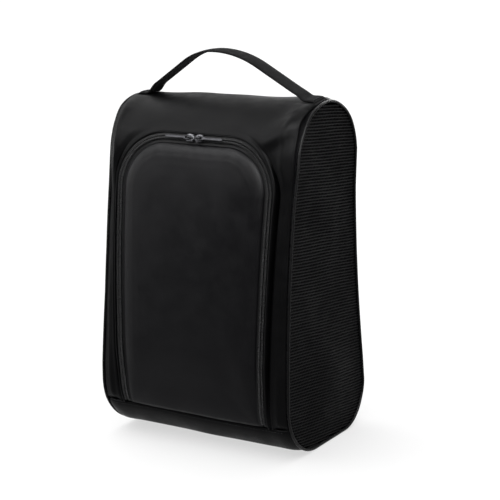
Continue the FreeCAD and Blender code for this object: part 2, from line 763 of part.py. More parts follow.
def draw_strap_face(drawing, lift):
    """One face of the swinging strap: run, two bends that meet at the top, run."""
    cut = size("Sheet.strap_cut")
    peak = -size("Sheet.peak_left")
    bends = []
    runs = []
    for side, low, high in ((LEFT, 90.0, 90 + size("Sheet.rise_left")),
                            (RIGHT, 90 - size("Sheet.rise_right"), 90.0)):
        radius_text = "Sheet.peak_radius_%s + (%s)" % (side, lift)
        radius = size(radius_text)
        centre = (peak, size("Sheet.peak_height - Sheet.peak_radius_" + side))
        bend = drawing.arc(centre, radius, math.radians(low), math.radians(high))
        drawing.bind("Radius", bend, to=radius_text)
        drawing.place((bend, CENTRE), across=(-1, "Sheet.peak_left"))
        foot_of_bend = END if side == LEFT else START
        sign = -1 if side == LEFT else 1
        top = point_of(drawing, (bend, foot_of_bend))
        slope = math.tan(math.radians(size("Sheet.rise_" + side)))
        low_end = (sign * cut, top[1] - abs(sign * cut - top[0]) * slope)
        run = drawing.line(low_end, top)
        drawing.tie("Tangent", run, END, bend, foot_of_bend)
        drawing.place((run, START), across=(sign, "Sheet.strap_cut"))
        angle = "Sheet.rise_left" if side == LEFT else "180 - Sheet.rise_right"
        drawing.bind("Angle", run, to=angle)
        bends.append(bend)
        runs.append((run, START))
    drawing.place((bends[0], CENTRE), up=(1, "Sheet.peak_height - Sheet.peak_radius_left"))
    drawing.place((bends[0], START), across=(-1, "Sheet.peak_left"))
    drawing.tie("Coincident", bends[0], START, bends[1], END)
    return runs


def strap_height(side, across):
    """Height of the strap's middle at a distance from X = 0, on a straight run."""
    towards = "-" if side == LEFT else "+"
    values = {"side": side, "across": across, "towards": towards}
    return ("Sheet.peak_height - Sheet.peak_radius_%(side)s"
            " + Sheet.peak_radius_%(side)s * cos(Sheet.rise_%(side)s)"
            " - (%(across)s %(towards)s Sheet.peak_left"
            " - Sheet.peak_radius_%(side)s * sin(Sheet.rise_%(side)s))"
            " * tan(Sheet.rise_%(side)s)") % values


def draw_foot_face(drawing, side, lift):
    """One face of a foot: the flat end, the bend up, and the start of the run."""
    sign = -1 if side == LEFT else 1
    rise = math.radians(size("Sheet.rise_" + side))
    cut_text = "Sheet.strap_cut + Sheet.cut_gap"
    top_text = "%s + (%s) / cos(Sheet.rise_%s)" % (strap_height(side, "(%s)" % cut_text), lift, side)
    flat_text = "Sheet.foot_height + (%s)" % lift
    radius_text = "Sheet.foot_radius_%s - (%s)" % (side, lift)
    cut = size(cut_text)
    top = size(top_text)
    flat = size(flat_text)
    radius = size(radius_text)
    corner = cut + (top - flat) / math.tan(rise)
    middle = corner + radius * math.tan(rise / 2)
    bend_end = (sign * (middle - radius * math.sin(rise)), flat + radius * (1 - math.cos(rise)))
    down = -math.pi / 2
    if side == LEFT:
        bend = drawing.arc((-middle, flat + radius), radius, down, down + rise)
        flat_point, run_point = START, END
    else:
        bend = drawing.arc((middle, flat + radius), radius, down - rise, down)
        flat_point, run_point = END, START
    run = drawing.line(bend_end, (sign * cut, top))
    end = drawing.line((sign * size("Sheet.foot_end"), flat), (sign * middle, flat))
    drawing.bind("Radius", bend, to=radius_text)
    drawing.tie("Tangent", end, END, bend, flat_point)
    drawing.tie("Tangent", bend, run_point, run, START)
    drawing.tie("Horizontal", end)
    drawing.place((end, START), (sign, "Sheet.foot_end"), (1, flat_text))
    drawing.place((run, END), (sign, cut_text), (1, top_text))
    angle = "Sheet.rise_left" if side == LEFT else "180 - Sheet.rise_right"
    drawing.bind("Angle", run, to=angle)
    return (end, START), (run, END)


def handle_strap():
    body = new_body("handle_strap")
    sketch = strap_sketch(body, "side_view")
    drawing = Drawing(sketch)
    upper = draw_strap_face(drawing, "Sheet.strap_half")
    lower = draw_strap_face(drawing, "-Sheet.strap_half")
    join(drawing, upper[0], lower[0])
    join(drawing, upper[1], lower[1])
    pad(body, sketch, "Sheet.strap_width")


def handle_foot(side):
    body = new_body("handle_foot_" + side)
    sketch = strap_sketch(body, "side_view")
    drawing = Drawing(sketch)
    upper = draw_foot_face(drawing, side, "Sheet.strap_half")
    lower = draw_foot_face(drawing, side, "-Sheet.strap_half")
    join(drawing, upper[0], lower[0])
    join(drawing, upper[1], lower[1])
    pad(body, sketch, "Sheet.strap_width")


def thread_tacks(side):
    """Bars of thread across a sewn end, as one group of separate solids."""
    label = "handle_tacks_" + side
    bars = []
    lift = "Sheet.foot_height + Sheet.strap_half + Sheet.tack_lift"
    for count in range(int(size("Sheet.tack_count"))):
        middle = "(Sheet.tack_first - %d * Sheet.tack_pitch)" % count
        span = mirrored(middle + " - Sheet.tack_size / 2", middle + " + Sheet.tack_size / 2",
                        side == LEFT)
        width = ("Sheet.strap_behind - Sheet.tack_width / 2",
                 "Sheet.strap_behind + Sheet.tack_width / 2")
        bars.append(block("%s_%d" % (label, count + 1), span, width,
                          (lift, lift + " + Sheet.tack_thick")))
    group = doc.addObject("Part::Compound", label)
    group.Links = bars
    group.Label = label
    parts.append(group)


handle_strap()
for side in (LEFT, RIGHT):
    handle_foot(side)
    thread_tacks(side)


# --------------------------------------------------------------------------
# Checks and export
# --------------------------------------------------------------------------

doc.recompute()
for item in doc.Objects:
    if "Invalid" in item.State or "Error" in item.State:
        raise RuntimeError("%s did not compute: %s" % (item.Label, item.State))
    if item.TypeId == "Sketcher::SketchObject" and not item.FullyConstrained:
        raise RuntimeError("%s is not fully constrained" % item.Label)

os.makedirs("parts", exist_ok=True)
for piece in parts:
    if piece.Shape.isNull() or not piece.Shape.isValid():
        raise RuntimeError("%s has no valid shape" % piece.Label)
    box = piece.Shape.BoundBox
    print("%-22s solids %d  volume %9.0f  x %7.1f %7.1f  y %7.1f %7.1f  z %7.1f %7.1f" % (
        piece.Label, len(piece.Shape.Solids), piece.Shape.Volume,
        box.XMin, box.XMax, box.YMin, box.YMax, box.ZMin, box.ZMax))
    piece.Shape.exportStep(os.path.join("parts", piece.Label + ".step"))
print("%d sub-parts" % len(parts))
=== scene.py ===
import json
import math

import bmesh
import bpy
import numpy as np
from mathutils import Matrix, Vector


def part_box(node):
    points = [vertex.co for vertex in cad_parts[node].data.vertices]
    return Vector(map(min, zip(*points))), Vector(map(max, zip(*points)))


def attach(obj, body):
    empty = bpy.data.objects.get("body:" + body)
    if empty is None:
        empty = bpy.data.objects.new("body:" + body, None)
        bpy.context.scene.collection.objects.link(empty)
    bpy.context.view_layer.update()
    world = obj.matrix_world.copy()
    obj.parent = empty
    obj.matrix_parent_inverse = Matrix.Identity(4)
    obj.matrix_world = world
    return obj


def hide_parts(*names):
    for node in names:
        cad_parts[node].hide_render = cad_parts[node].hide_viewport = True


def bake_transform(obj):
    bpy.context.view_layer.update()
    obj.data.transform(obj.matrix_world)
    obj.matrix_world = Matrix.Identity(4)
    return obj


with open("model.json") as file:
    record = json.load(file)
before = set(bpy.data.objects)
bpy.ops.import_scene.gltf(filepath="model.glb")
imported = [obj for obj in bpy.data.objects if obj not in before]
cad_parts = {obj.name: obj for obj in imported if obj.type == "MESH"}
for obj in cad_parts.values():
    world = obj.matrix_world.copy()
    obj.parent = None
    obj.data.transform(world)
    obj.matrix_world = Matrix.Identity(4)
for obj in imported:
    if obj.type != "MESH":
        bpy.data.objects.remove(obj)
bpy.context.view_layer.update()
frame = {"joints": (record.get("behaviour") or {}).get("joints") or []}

# Lengths are in millimetres in the CAD's frame: +Z up, -Y the front.  Meshes are in metres.
MM = 0.001


def edge_of(node, axis, top):
    """One side of a CAD node's box, in millimetres."""
    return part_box(node)[1 if top else 0][axis] / MM


# ------------------------------------------------------------------ the side outline
TOE, TOE_RADIUS = (-25.0, 60.0), 60.0
HEEL, HEEL_RADIUS = (41.0, 44.0), 44.0
CROWN, CROWN_RADIUS = (3.5, 305.0), 64.0
FRONT_BOW, BACK_HOLLOW = 1470.0, 1690.0
OUTLINE_STEP, BASE_POINTS = 0.5, 133
BASE_SEAM = edge_of("front_panel", 2, False)
BACK_SEAM = edge_of("back_panel", 2, True)
SHELL_SIDE = edge_of("front_panel", 0, True)
PIPING_X = (edge_of("piping_right", 0, False) + edge_of("piping_right", 0, True)) / 2
MESH_X = edge_of("side_mesh_right", 0, False)
MESH_INSET = 4.1
PIPING_INSET = 2.0


def meeting_point(first, first_reach, second, second_reach):
    """The point at both distances from two centres, on the side of +Y."""
    gap = math.hypot(second[0] - first[0], second[1] - first[1])
    along = (gap ** 2 + first_reach ** 2 - second_reach ** 2) / (2 * gap)
    aside = math.sqrt(first_reach ** 2 - along ** 2)
    unit = ((second[0] - first[0]) / gap, (second[1] - first[1]) / gap)
    return (first[0] + unit[0] * along + unit[1] * aside,
            first[1] + unit[1] * along - unit[0] * aside)


def heading(start, finish):
    return math.atan2(finish[1] - start[1], finish[0] - start[0]) % (2 * math.pi)


FRONT = meeting_point(TOE, FRONT_BOW - TOE_RADIUS, CROWN, FRONT_BOW - CROWN_RADIUS)
BACK = meeting_point(HEEL, BACK_HOLLOW + HEEL_RADIUS, CROWN, BACK_HOLLOW + CROWN_RADIUS)


def outline():
    """Points and outward normals round the closed side outline, one row each."""
    toe_end, front_end = heading(FRONT, TOE), heading(FRONT, CROWN)
    crown_end, heel_start = heading(CROWN, BACK), heading(HEEL, BACK)
    if crown_end > math.pi:
        crown_end -= 2 * math.pi
    arcs = [(TOE, TOE_RADIUS, 1.5 * math.pi, toe_end, 1),
            (FRONT, FRONT_BOW, toe_end, front_end, 1),
            (CROWN, CROWN_RADIUS, front_end, crown_end, 1),
            (BACK, BACK_HOLLOW, crown_end + math.pi, heel_start + math.pi, -1),
            (HEEL, HEEL_RADIUS, heel_start, -math.pi / 2, 1)]
    rows = []
    for centre, radius, start, finish, sign in arcs:
        steps = max(2, round(abs(finish - start) * radius / OUTLINE_STEP))
        for k in range(steps):
            a = start + (finish - start) * k / steps
            rows.append((centre[0] + radius * math.cos(a), centre[1] + radius * math.sin(a),
                         sign * math.cos(a), sign * math.sin(a)))
    for y in np.linspace(HEEL[0], TOE[0], BASE_POINTS):
        rows.append((y, 0.0, 0.0, -1.0))
    return np.array(rows)


RING = outline()
RING_S = np.concatenate([[0], np.cumsum(np.hypot(*np.diff(RING[:, :2], axis=0).T))])
ROUND = RING_S[-1]
CROWN_TOP = float(RING_S[np.argmax(RING[:, 1])])


def smooth(value):
    value = np.clip(value, 0, 1)
    return value * value * (3 - 2 * value)


def s_at_height(z, back=False):
    """Distance round the outline where it passes a height, on the front or the back."""
    top = int(np.argmax(RING[:, 1]))
    if not back:
        return float(np.interp(z, RING[:top, 1], RING_S[:top]))
    heel_end = top + int(np.argmax(RING[top:, 1] < 0.001))
    return float(np.interp(-z, -RING[top:heel_end, 1], RING_S[top:heel_end]))


def sag(x, s):
    """The left of the crown hangs a little lower than the right."""
    return 2.6 * smooth((-x - 25) / 65) * np.exp(-((s - CROWN_TOP) / 40) ** 2)


# The filled bag stands a little unevenly: how far each side stands out, by height.
RIGHT_OUT = ([0, 40, 200, 270, 310, 345, 365, 372], [2.6, 2.8, 2.8, 3.3, 4.8, 4.4, 2.6, 1.5])
LEFT_OUT = ([0, 12, 40, 80, 120, 160, 210, 280, 330, 345, 358, 372],
            [0.5, 1.5, 3.4, 3.0, 0.8, -1.3, -2.2, -2.2, -1.0, 0.3, 2.8, 3.2])
# The right of the crown and back is fuller: how far it stands off, by distance past the top.
FULL_RIGHT = ([-14, 0, 12, 25, 50, 75, 100, 150, 250, 330, 360, 380],
              [0.0, 1.2, 2.8, 4.3, 5.6, 4.4, 3.0, 2.0, 2.0, 3.2, 2.4, 0.0])


def widen(x, z):
    """How far the sides of the bag stand out from the plain width, along X."""
    near = smooth((np.abs(x) - 92) / 19)
    return near * np.where(x > 0, np.interp(z, *RIGHT_OUT), -np.interp(z, *LEFT_OUT))


def fuller(x, s):
    return smooth((x - 30) / 75) * np.interp(s - CROWN_TOP, *FULL_RIGHT)


def rise(x, y, z):
    """The toe of the base is drawn up towards its left corner."""
    return 3.6 * smooth((70 - x) / 180) * smooth((150 - z) / 100) * smooth((25 - y) / 45)


def ring_at(s):
    """The plain outline at a distance round it: y, z, and its outward normal's y and z."""
    return [np.interp(s, RING_S, RING[:, k]) for k in range(4)]


def place(x, s, lift):
    """A point at x, at a distance round the outline, and lifted off it."""
    x, s, lift = np.broadcast_arrays(*(np.asarray(v, float) for v in (x, s, lift)))
    turn = s % ROUND
    lift = lift - sag(x, turn) + fuller(x, turn)
    y, z, out_y, out_z = ring_at(turn)
    y, z = y + lift * out_y, z + lift * out_z
    return np.stack([x + widen(x, z), y, z + rise(x, y, z)], -1)


def normals_at(s):
    _, _, out_y, out_z = ring_at(np.asarray(s) % ROUND)
    return np.stack([np.zeros_like(out_y), out_y, out_z], -1)


# ------------------------------------------------------------------ the arch of the zip
ZIP_TILT = math.radians(23.5)
ALONG = (math.sin(ZIP_TILT), math.cos(ZIP_TILT))
CORNER_HALF, CORNER_RADIUS = 38.0, 53.5
LEAN = math.radians(1.45)
CORNER_TURN = math.pi / 2 + LEAN
FOOT = edge_of("door_panel", 2, False)
# Tau runs up the bag along the tilted top of the zip, and is 0 at the middle of its top run.
TAU = (RING[:, 0] - CROWN[0]) * ALONG[0] + (RING[:, 1] - CROWN[1]) * ALONG[1]
TILT = RING[:, 2] * ALONG[0] + RING[:, 3] * ALONG[1]
RISING = slice(0, int(np.argmax(TAU)))
RISE_END = RING_S[RISING][-1]


def tau_at(s):
    return np.interp(s, RING_S, TAU)


def tilt_at(s):
    """How much tau grows for each millimetre of lift."""
    return np.interp(s, RING_S, TILT)


def s_at_tau(tau, lift):
    """Distance round the outline of the place where a lifted point has that tau."""
    tau = np.asarray(tau, float)
    s = np.interp(tau, TAU[RISING], RING_S[RISING])
    for _ in range(4):
        s = np.interp(tau - lift * tilt_at(s), TAU[RISING], RING_S[RISING])
    return s


def foot_s(lift):
    return TOE_RADIUS * (math.pi / 2 - np.arcsin((TOE[1] - FOOT) / (TOE_RADIUS + lift)))


FOOT_S = float(foot_s(0.0))
LEG_TOP_TAU = -CORNER_RADIUS * (1 + math.sin(LEAN))
LEG = float(s_at_tau(LEG_TOP_TAU, 0.0)) - FOOT_S
CORNER = CORNER_RADIUS * CORNER_TURN
ARCH = 2 * (LEG + CORNER + CORNER_HALF)


def taper(s):
    """Everything on the front gets flatter towards the base seam."""
    return 0.26 + 0.74 * smooth((s - FOOT_S) / 75)


def corner_angle(run):
    """Direction from the corner's centre, by distance along the zip from the nearer foot."""
    return np.clip((run - LEG) / CORNER, 0, 1) * CORNER_TURN - LEAN


def arch(u, span, lift):
    """A point on the zip: u along it from the left foot, span outwards, and lifted."""
    u, span, lift = np.broadcast_arrays(*(np.asarray(v, float) for v in (u, span, lift)))
    side = np.where(u < ARCH / 2, -1.0, 1.0)
    run = np.minimum(u, ARCH - u)
    radius, angle = CORNER_RADIUS + span, corner_angle(run)
    x = np.where(run > LEG + CORNER, ARCH / 2 - run, CORNER_HALF + radius * np.cos(angle))
    tau = -CORNER_RADIUS + radius * np.sin(angle)
    s, low, on_leg = s_at_tau(tau, lift), foot_s(lift), run < LEG
    s = np.where(on_leg, low + (s - low) * np.clip(run / LEG, 0, 1), s)
    tau_here = tau_at(s) + lift * tilt_at(s)
    x = np.where(on_leg, x + (tau_here - tau) * math.tan(LEAN), x)
    return side * x, s, lift * taper(s)


def arch_place(u, span, lift):
    return place(*arch(u, span, lift))


def leg_blend(from_top):
    """How much a place belongs to a leg of the zip, by its angle from the top in degrees."""
    return smooth((from_top - 42) / 62)


def arch_span(x, tau):
    """How far a point is outside the middle of the coil, and how much it belongs to a leg."""
    x, tau = np.abs(x), np.asarray(tau, float)
    dx, dt = x - CORNER_HALF, tau + CORNER_RADIUS
    leg = np.maximum(dx - CORNER_RADIUS - np.minimum(dt, 0) * math.tan(LEAN), tau)
    curve = np.hypot(np.maximum(dx, 0), dt) - CORNER_RADIUS
    span = np.where(dt < 0, leg, np.where(dx > 0, curve, tau))
    angle = np.degrees(np.arctan2(np.maximum(dx, 0), np.maximum(dt, 1e-6)))
    return span, leg_blend(np.where(dt < 0, 90 - np.degrees(dt / CORNER_RADIUS), angle))


def leg_share(u):
    """How much a place along the zip belongs to a leg; the same blend as in arch_span."""
    run = np.minimum(u, ARCH - np.asarray(u, float))
    past_foot = np.degrees(np.maximum(LEG - run, 0) / CORNER_RADIUS)
    return leg_blend(90 - np.degrees(corner_angle(run)) + past_foot)


def stations(leg_step, corner_step, top_step):
    """Stations along the zip, which are the same on its two halves."""
    runs, first = [], 0
    for length, step in ((LEG, leg_step), (CORNER, corner_step), (CORNER_HALF, top_step)):
        runs.append(first + np.linspace(0, length, round(length / step) + 1)[:-1])
        first = first + length
    half = np.concatenate(runs + [[ARCH / 2]])
    return np.concatenate([half, ARCH - half[-2::-1]])


# ------------------------------------------------------------------ mesh helpers
def unit(rows):
    return rows / np.linalg.norm(rows, axis=1)[:, None]


def lengths(line):
    """Distance along a line of points, from 0."""
    return np.concatenate([[0], np.cumsum(np.linalg.norm(np.diff(line, axis=0), axis=1))])


def pairs(first, second):
    return np.stack(np.broadcast_arrays(first, second), -1)


def table_curve(blur, *points):
    """A smooth curve through a table of (distance, height), level past its last point."""
    where, height = zip(*points)
    grid = np.arange(where[0] - 5, where[-1] + 5, 0.2)
    reach = np.arange(-3 * blur, 3 * blur + 0.1, 0.2)
    kernel = np.exp(-0.5 * (reach / blur) ** 2)
    padded = np.pad(np.interp(grid, where, height), len(reach) // 2, mode="edge")
    soft = np.convolve(padded, kernel / kernel.sum(), mode="valid")[:len(grid)]
    return lambda v: np.interp(np.minimum(v, where[-1]), grid, soft)


def new_piece(name, points, faces, uvs, body, finish, nodes=()):
    """A mesh piece in metres from points in millimetres, riding on a body."""
    slot, material = finish
    mesh = bpy.data.meshes.new(name)
    mesh.from_pydata((np.asarray(points).reshape(-1, 3) * MM).tolist(), [], faces)
    if uvs is not None:
        layer = mesh.uv_layers.new(name="UVMap")
        loops = np.zeros(len(mesh.loops), np.int32)
        mesh.loops.foreach_get("vertex_index", loops)
        layer.data.foreach_set("uv", (np.asarray(uvs).reshape(-1, 2)[loops] * MM).ravel())
    mesh.polygons.foreach_set("use_smooth", [True] * len(mesh.polygons))
    mesh.materials.append(material)
    mesh.update()
    piece = bpy.data.objects.new(name, mesh)
    bpy.context.scene.collection.objects.link(piece)
    if body:
        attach(piece, body)
    if nodes:
        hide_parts(*nodes)
    return piece


def grid_faces(rows, columns, first=0, loop_rows=False, loop_columns=False):
    faces = []
    for i in range(rows if loop_rows else rows - 1):
        for j in range(columns if loop_columns else columns - 1):
            a, b = first + i * columns + j, first + i * columns + (j + 1) % columns
            step = ((i + 1) % rows - i) * columns
            faces.append((a, b, b + step, a + step))
    return faces


def weld(piece, distance=0.00002):
    bm = bmesh.new()
    bm.from_mesh(piece.data)
    bmesh.ops.remove_doubles(bm, verts=bm.verts, dist=distance)
    bmesh.ops.recalc_face_normals(bm, faces=bm.faces)
    bm.to_mesh(piece.data)
    bm.free()


SHEET, TUBE = {}, {"loop_columns": True}
CLOSED_TUBE = {"loop_rows": True, "loop_columns": True}


def grid_piece(name, grids, body, finish, nodes=(), welded=True, loops=SHEET, caps=0):
    """A piece of (points, uvs) grids; caps, 1 or -1, closes a tube's ends, wound that way."""
    points, uvs, faces = [], [], []
    for grid, uv in grids:
        faces += grid_faces(*grid.shape[:2], sum(len(p) for p in points), **loops)
        points.append(grid.reshape(-1, 3))
        uvs.append(uv.reshape(-1, 2))
    points = np.concatenate(points)
    if caps:
        total, count = len(points), grids[0][0].shape[1]
        faces += [tuple(range(count))[::caps],
                  tuple(range(total - 1, total - count - 1, -1))[::caps]]
    piece = new_piece(name, points, faces, np.concatenate(uvs), body, finish, nodes)
    if welded:
        weld(piece)
    return piece


def thicken(piece, thickness, offset=-1.0):
    shell = piece.modifiers.new("thickness", "SOLIDIFY")
    shell.thickness, shell.offset = thickness * MM, offset


def tube_rows(path, radius, sides, upright):
    """Rings of points round a path; upright is roughly square to it."""
    forward = unit(np.gradient(path, axis=0))
    aside = unit(np.cross(forward, upright))
    up = np.cross(aside, forward)
    angle = np.linspace(0, 2 * math.pi, sides, endpoint=False)[None, :, None]
    radius = np.broadcast_to(radius, (len(path),))[:, None, None]
    return path[:, None] + radius * (np.cos(angle) * aside[:, None] + np.sin(angle) * up[:, None])


# ------------------------------------------------------------------ materials
class Paint:
    """A small helper that wires one procedural material."""

    def __init__(self, name, **shader):
        self.material = bpy.data.materials.new(name)
        self.material.use_nodes = True
        self.tree = self.material.node_tree
        self.shader = self.tree.nodes["Principled BSDF"]
        for key, value in shader.items():
            self.shader.inputs[key.replace("_", " ")].default_value = value
        coordinates = self.tree.nodes.new("ShaderNodeTexCoord")
        self.spot = coordinates.outputs["Object"]
        split = self.tree.nodes.new("ShaderNodeSeparateXYZ")
        self.tree.links.new(coordinates.outputs["UV"], split.inputs[0])
        self.across, self.along = split.outputs[0], split.outputs[1]

    def math(self, kind, a, b=None):
        node = self.tree.nodes.new("ShaderNodeMath")
        node.operation = kind
        for socket, value in zip(node.inputs, (a, b)):
            if isinstance(value, (int, float)):
                socket.default_value = value
            elif value is not None:
                self.tree.links.new(value, socket)
        return node.outputs[0]

    def noise(self, scale, detail, rough):
        node = self.tree.nodes.new("ShaderNodeTexNoise")
        for socket, value in (("Scale", scale), ("Detail", detail), ("Roughness", rough)):
            node.inputs[socket].default_value = value
        self.tree.links.new(self.spot, node.inputs["Vector"])
        return node.outputs["Fac"]

    def wave(self, socket, pitch):
        """A rounded ridge every pitch millimetres along one coordinate, from -1 to 1."""
        return self.math("SINE", self.math("MULTIPLY", socket, 2 * math.pi / (pitch * MM)))

    def ramp(self, socket, *stops):
        node = self.tree.nodes.new("ShaderNodeValToRGB")
        self.tree.links.new(socket, node.inputs[0])
        ramp = node.color_ramp
        while len(ramp.elements) < len(stops):
            ramp.elements.new(0.5)
        for element, (position, colour) in zip(ramp.elements, stops):
            element.position = position
            if isinstance(colour, (int, float)):
                colour = (colour, colour, colour)
            element.color = (*colour, 1)
        return node.outputs[0]

    def link(self, output, socket):
        self.tree.links.new(output, self.shader.inputs[socket])

    def bump(self, *layers):
        """Stack bumps; each layer is (height socket, distance in millimetres, strength)."""
        previous = None
        for height, distance, strength in layers:
            node = self.tree.nodes.new("ShaderNodeBump")
            node.inputs["Strength"].default_value = strength
            node.inputs["Distance"].default_value = distance * MM
            self.tree.links.new(height, node.inputs["Height"])
            if previous:
                self.tree.links.new(previous, node.inputs["Normal"])
            previous = node.outputs[0]
        self.link(previous, "Normal")


def woven(name, dark, light, pitch, height, rough, specular, sheen=0.0, rib=None):
    """Plain woven cloth; pitch is one over-and-under of its yarns."""
    paint = Paint(name, Specular_IOR_Level=specular, Sheen_Weight=sheen, Sheen_Roughness=0.45,
                  Sheen_Tint=(0.86, 0.89, 1.0, 1.0))
    cross = paint.math("MULTIPLY", paint.wave(paint.across, pitch), paint.wave(paint.along, pitch))
    cloud, fibre = paint.noise(38, 4, 0.6), paint.noise(2200, 2, 0.6)
    mottle = paint.math("ADD", paint.math("MULTIPLY", cloud, 0.62),
                        paint.math("MULTIPLY", fibre, 0.38))
    mixed = paint.math("ADD", paint.math("MULTIPLY", cross, 0.16), mottle)
    paint.link(paint.ramp(mixed, (0.3, dark), (0.75, light)), "Base Color")
    paint.link(paint.ramp(paint.noise(55, 3, 0.5), (0.3, rough - 0.07), (0.72, rough + 0.08)),
               "Roughness")
    ribs = [(paint.wave(paint.along, rib), height * 1.5, 0.4)] if rib else []
    paint.bump((paint.noise(26, 3, 0.5), 1.2, 0.25), *ribs, (cross, height, 0.55),
               (fibre, height * 0.6, 0.35))
    return paint.material


def herringbone(name, dark, light, pitch, height, rough, specular):
    """Narrow woven tape: slanting yarns that turn back at every rib."""
    paint = Paint(name, Specular_IOR_Level=specular)
    zigzag = paint.math("PINGPONG", paint.along, pitch * 1.6 * MM)
    yarn = paint.wave(paint.math("ADD", paint.across, zigzag), pitch)
    fibre = paint.noise(1800, 2, 0.6)
    tone = paint.math("ADD", paint.math("MULTIPLY", yarn, 0.28), fibre)
    paint.link(paint.ramp(tone, (0.2, dark), (0.85, light)), "Base Color")
    paint.link(paint.ramp(paint.noise(120, 2, 0.5), (0.3, rough - 0.05), (0.7, rough + 0.08)),
               "Roughness")
    paint.bump((yarn, height, 0.7), (fibre, height * 0.5, 0.3))
    return paint.material


def moulded(name, dark, light, rough, specular=0.5, grain=900, metal=0.0):
    """Nylon, thread or metal: a fine grain with rubbed spots."""
    paint = Paint(name, Specular_IOR_Level=specular, Metallic=metal)
    speck, rubbed = paint.noise(grain, 3, 0.6), paint.noise(grain / 6, 3, 0.55)
    paint.link(paint.ramp(rubbed, (0.35, dark), (0.7, light)), "Base Color")
    paint.link(paint.ramp(speck, (0.3, max(0.05, rough - 0.08)), (0.7, rough + 0.1)), "Roughness")
    paint.bump((speck, 0.03, 0.35))
    return paint.material


# Each finish is the record's material slot and the material that stands for it.
SHELL = "shell_fabric", woven("shell_fabric", (0.0006, 0.0006, 0.0008), (0.0020, 0.0020, 0.0024),
                              0.8, 0.06, 0.40, 0.038)
DOOR = "shell_fabric", woven("door_fabric", (0.0008, 0.0007, 0.0013), (0.0022, 0.0021, 0.0031),
                             0.8, 0.05, 0.38, 0.078)
LINING = "lining_fabric", woven("lining_fabric", (0.010, 0.010, 0.012), (0.018, 0.018, 0.021),
                                1.2, 0.05, 0.5, 0.12, sheen=0.03, rib=5.0)
# The sheet behind the mesh's net stands where a backing would. Its near-black, unglossy colour is
# painted shade for the bag's dark inside, seen through the net's holes.
SHADE_SHEET = "side_mesh", woven("mesh_painted_shade", (0.0006, 0.0006, 0.0008), (0.0015, 0.0015, 0.0018),
                             1.0, 0.05, 0.7, 0.0)
NET = "side_mesh", woven("mesh_yarn", (0.0016, 0.0016, 0.0019), (0.0045, 0.0045, 0.0052),
                         0.9, 0.05, 0.42, 0.05)
PIPING = "piping_fabric", herringbone("piping_cover", (0.001, 0.001, 0.0012),
                                      (0.0022, 0.0022, 0.0026), 0.8, 0.05, 0.28, 0.08)
TAPE = "zip_tape", herringbone("zip_tape", (0.0012, 0.0012, 0.0015), (0.0045, 0.0045, 0.005),
                               0.9, 0.06, 0.45, 0.08)
BINDING = "binding_tape", herringbone("binding_tape", (0.0015, 0.0015, 0.0018),
                                      (0.004, 0.004, 0.0046), 1.0, 0.06, 0.5, 0.06)
WEBBING = "webbing", herringbone("webbing", (0.003, 0.003, 0.0033), (0.012, 0.012, 0.0125),
                                 1.6, 0.16, 0.9, 0.05)
COIL = "zip_coil", moulded("zip_coil", (0.0025, 0.0025, 0.003), (0.009, 0.009, 0.010), 0.26, 0.20)
THREAD = "thread", moulded("thread", (0.004, 0.004, 0.0045), (0.012, 0.012, 0.013), 0.42, 0.15,
                           grain=1500)
SLIDER = "slider_metal", moulded("slider_metal", (0.012, 0.012, 0.013), (0.05, 0.05, 0.053), 0.30,
                                 metal=1.0)
PULL = "pull_metal", moulded("pull_metal", (0.015, 0.015, 0.016), (0.026, 0.026, 0.028), 0.40,
                             metal=1.0)


# ------------------------------------------------------------------ the shell
LIP_INNER, LIP_OUTER = 7.2, 12.0
# The lip reaches this much further over the zip's tape than the wall below it.
PINCH = 3.0
# Tau at the top of the rectangle of cloth round the zip.
RIM_TAU = 45.0
# The lining's depth below the outline, and the limits of its own relief.
LINING_DEPTH, LINING_LOW, LINING_HIGH = 4.5, -1.2, 1.0
FOLD_RISE, LEFT_FOLD_RISE = 6.8, 1.2
CREST_RISE, CREST_X, CREST_WIDTH = 2.2, 101.5, 3.4
GROOVE_DEPTH, GROOVE_OUT, GROOVE_WIDTH = 2.4, 10.4, 0.9
PAST_CROWN_TAU = 70.0
CROWN_ROWS = 44

LEG_LIP = table_curve(
    0.3, (7.2, 6.1), (7.7, 7.4), (8.3, 7.8), (8.9, 6.8), (9.4, 4.0), (9.8, 1.0), (10.3, -1.2),
    (10.8, -0.8), (11.4, 1.2), (12.2, 2.9), (13.4, 3.3), (15.0, 2.7), (18.0, 1.2), (22.0, 0.2))
TOP_LIP = table_curve(
    0.4, (4.2, 6.2), (4.8, 6.8), (5.8, 7.1), (7.2, 6.9), (9.0, 6.6), (13.0, 6.2), (20.0, 5.4),
    (30.0, 4.0), (42.0, 2.3), (54.0, 0.9), (62.0, 0.2), (68.0, 0.0))
SIDE_EDGE = table_curve(0.7, (-1.0, -1.7), (0.0, -1.4), (1.2, -0.4), (3.0, 0.7), (6.0, 1.6),
                        (10.0, 2.1), (22.0, 1.6), (50.0, 1.3), (55.0, 1.3))
SEAM = table_curve(0.5, (-1.0, -1.5), (0.0, -1.2), (1.0, -0.5), (2.6, 0.4), (6.0, 0.9),
                   (12.0, 1.0))
FRONT_START, FRONT_END = s_at_height(BASE_SEAM), s_at_height(BACK_SEAM, back=True)
BACK_START, BACK_END = s_at_height(BACK_SEAM - 0.2, back=True), s_at_height(BASE_SEAM, back=True)
BASE_START = s_at_height(BASE_SEAM - 0.2, back=True)
BASE_END = ROUND + s_at_height(BASE_SEAM - 0.2)


def soft_waves(x, s):
    """Slow undulations of cloth over foam, about half a millimetre."""
    return (0.30 * np.sin(x / 23.0 + 1.1) * np.sin(s / 31.0 + 0.4)
            + 0.22 * np.sin(x / 11.0 + s / 37.0) + 0.16 * np.sin(s / 13.0 - x / 29.0 + 2.0))


FOLD_CREST = [(110.0, 44.0), (107.5, 22.0), (98.0, 9.0), (80.0, -1.0)]
FOLD_HEIGHT = [0.35, 0.85, 1.0, 0.55]


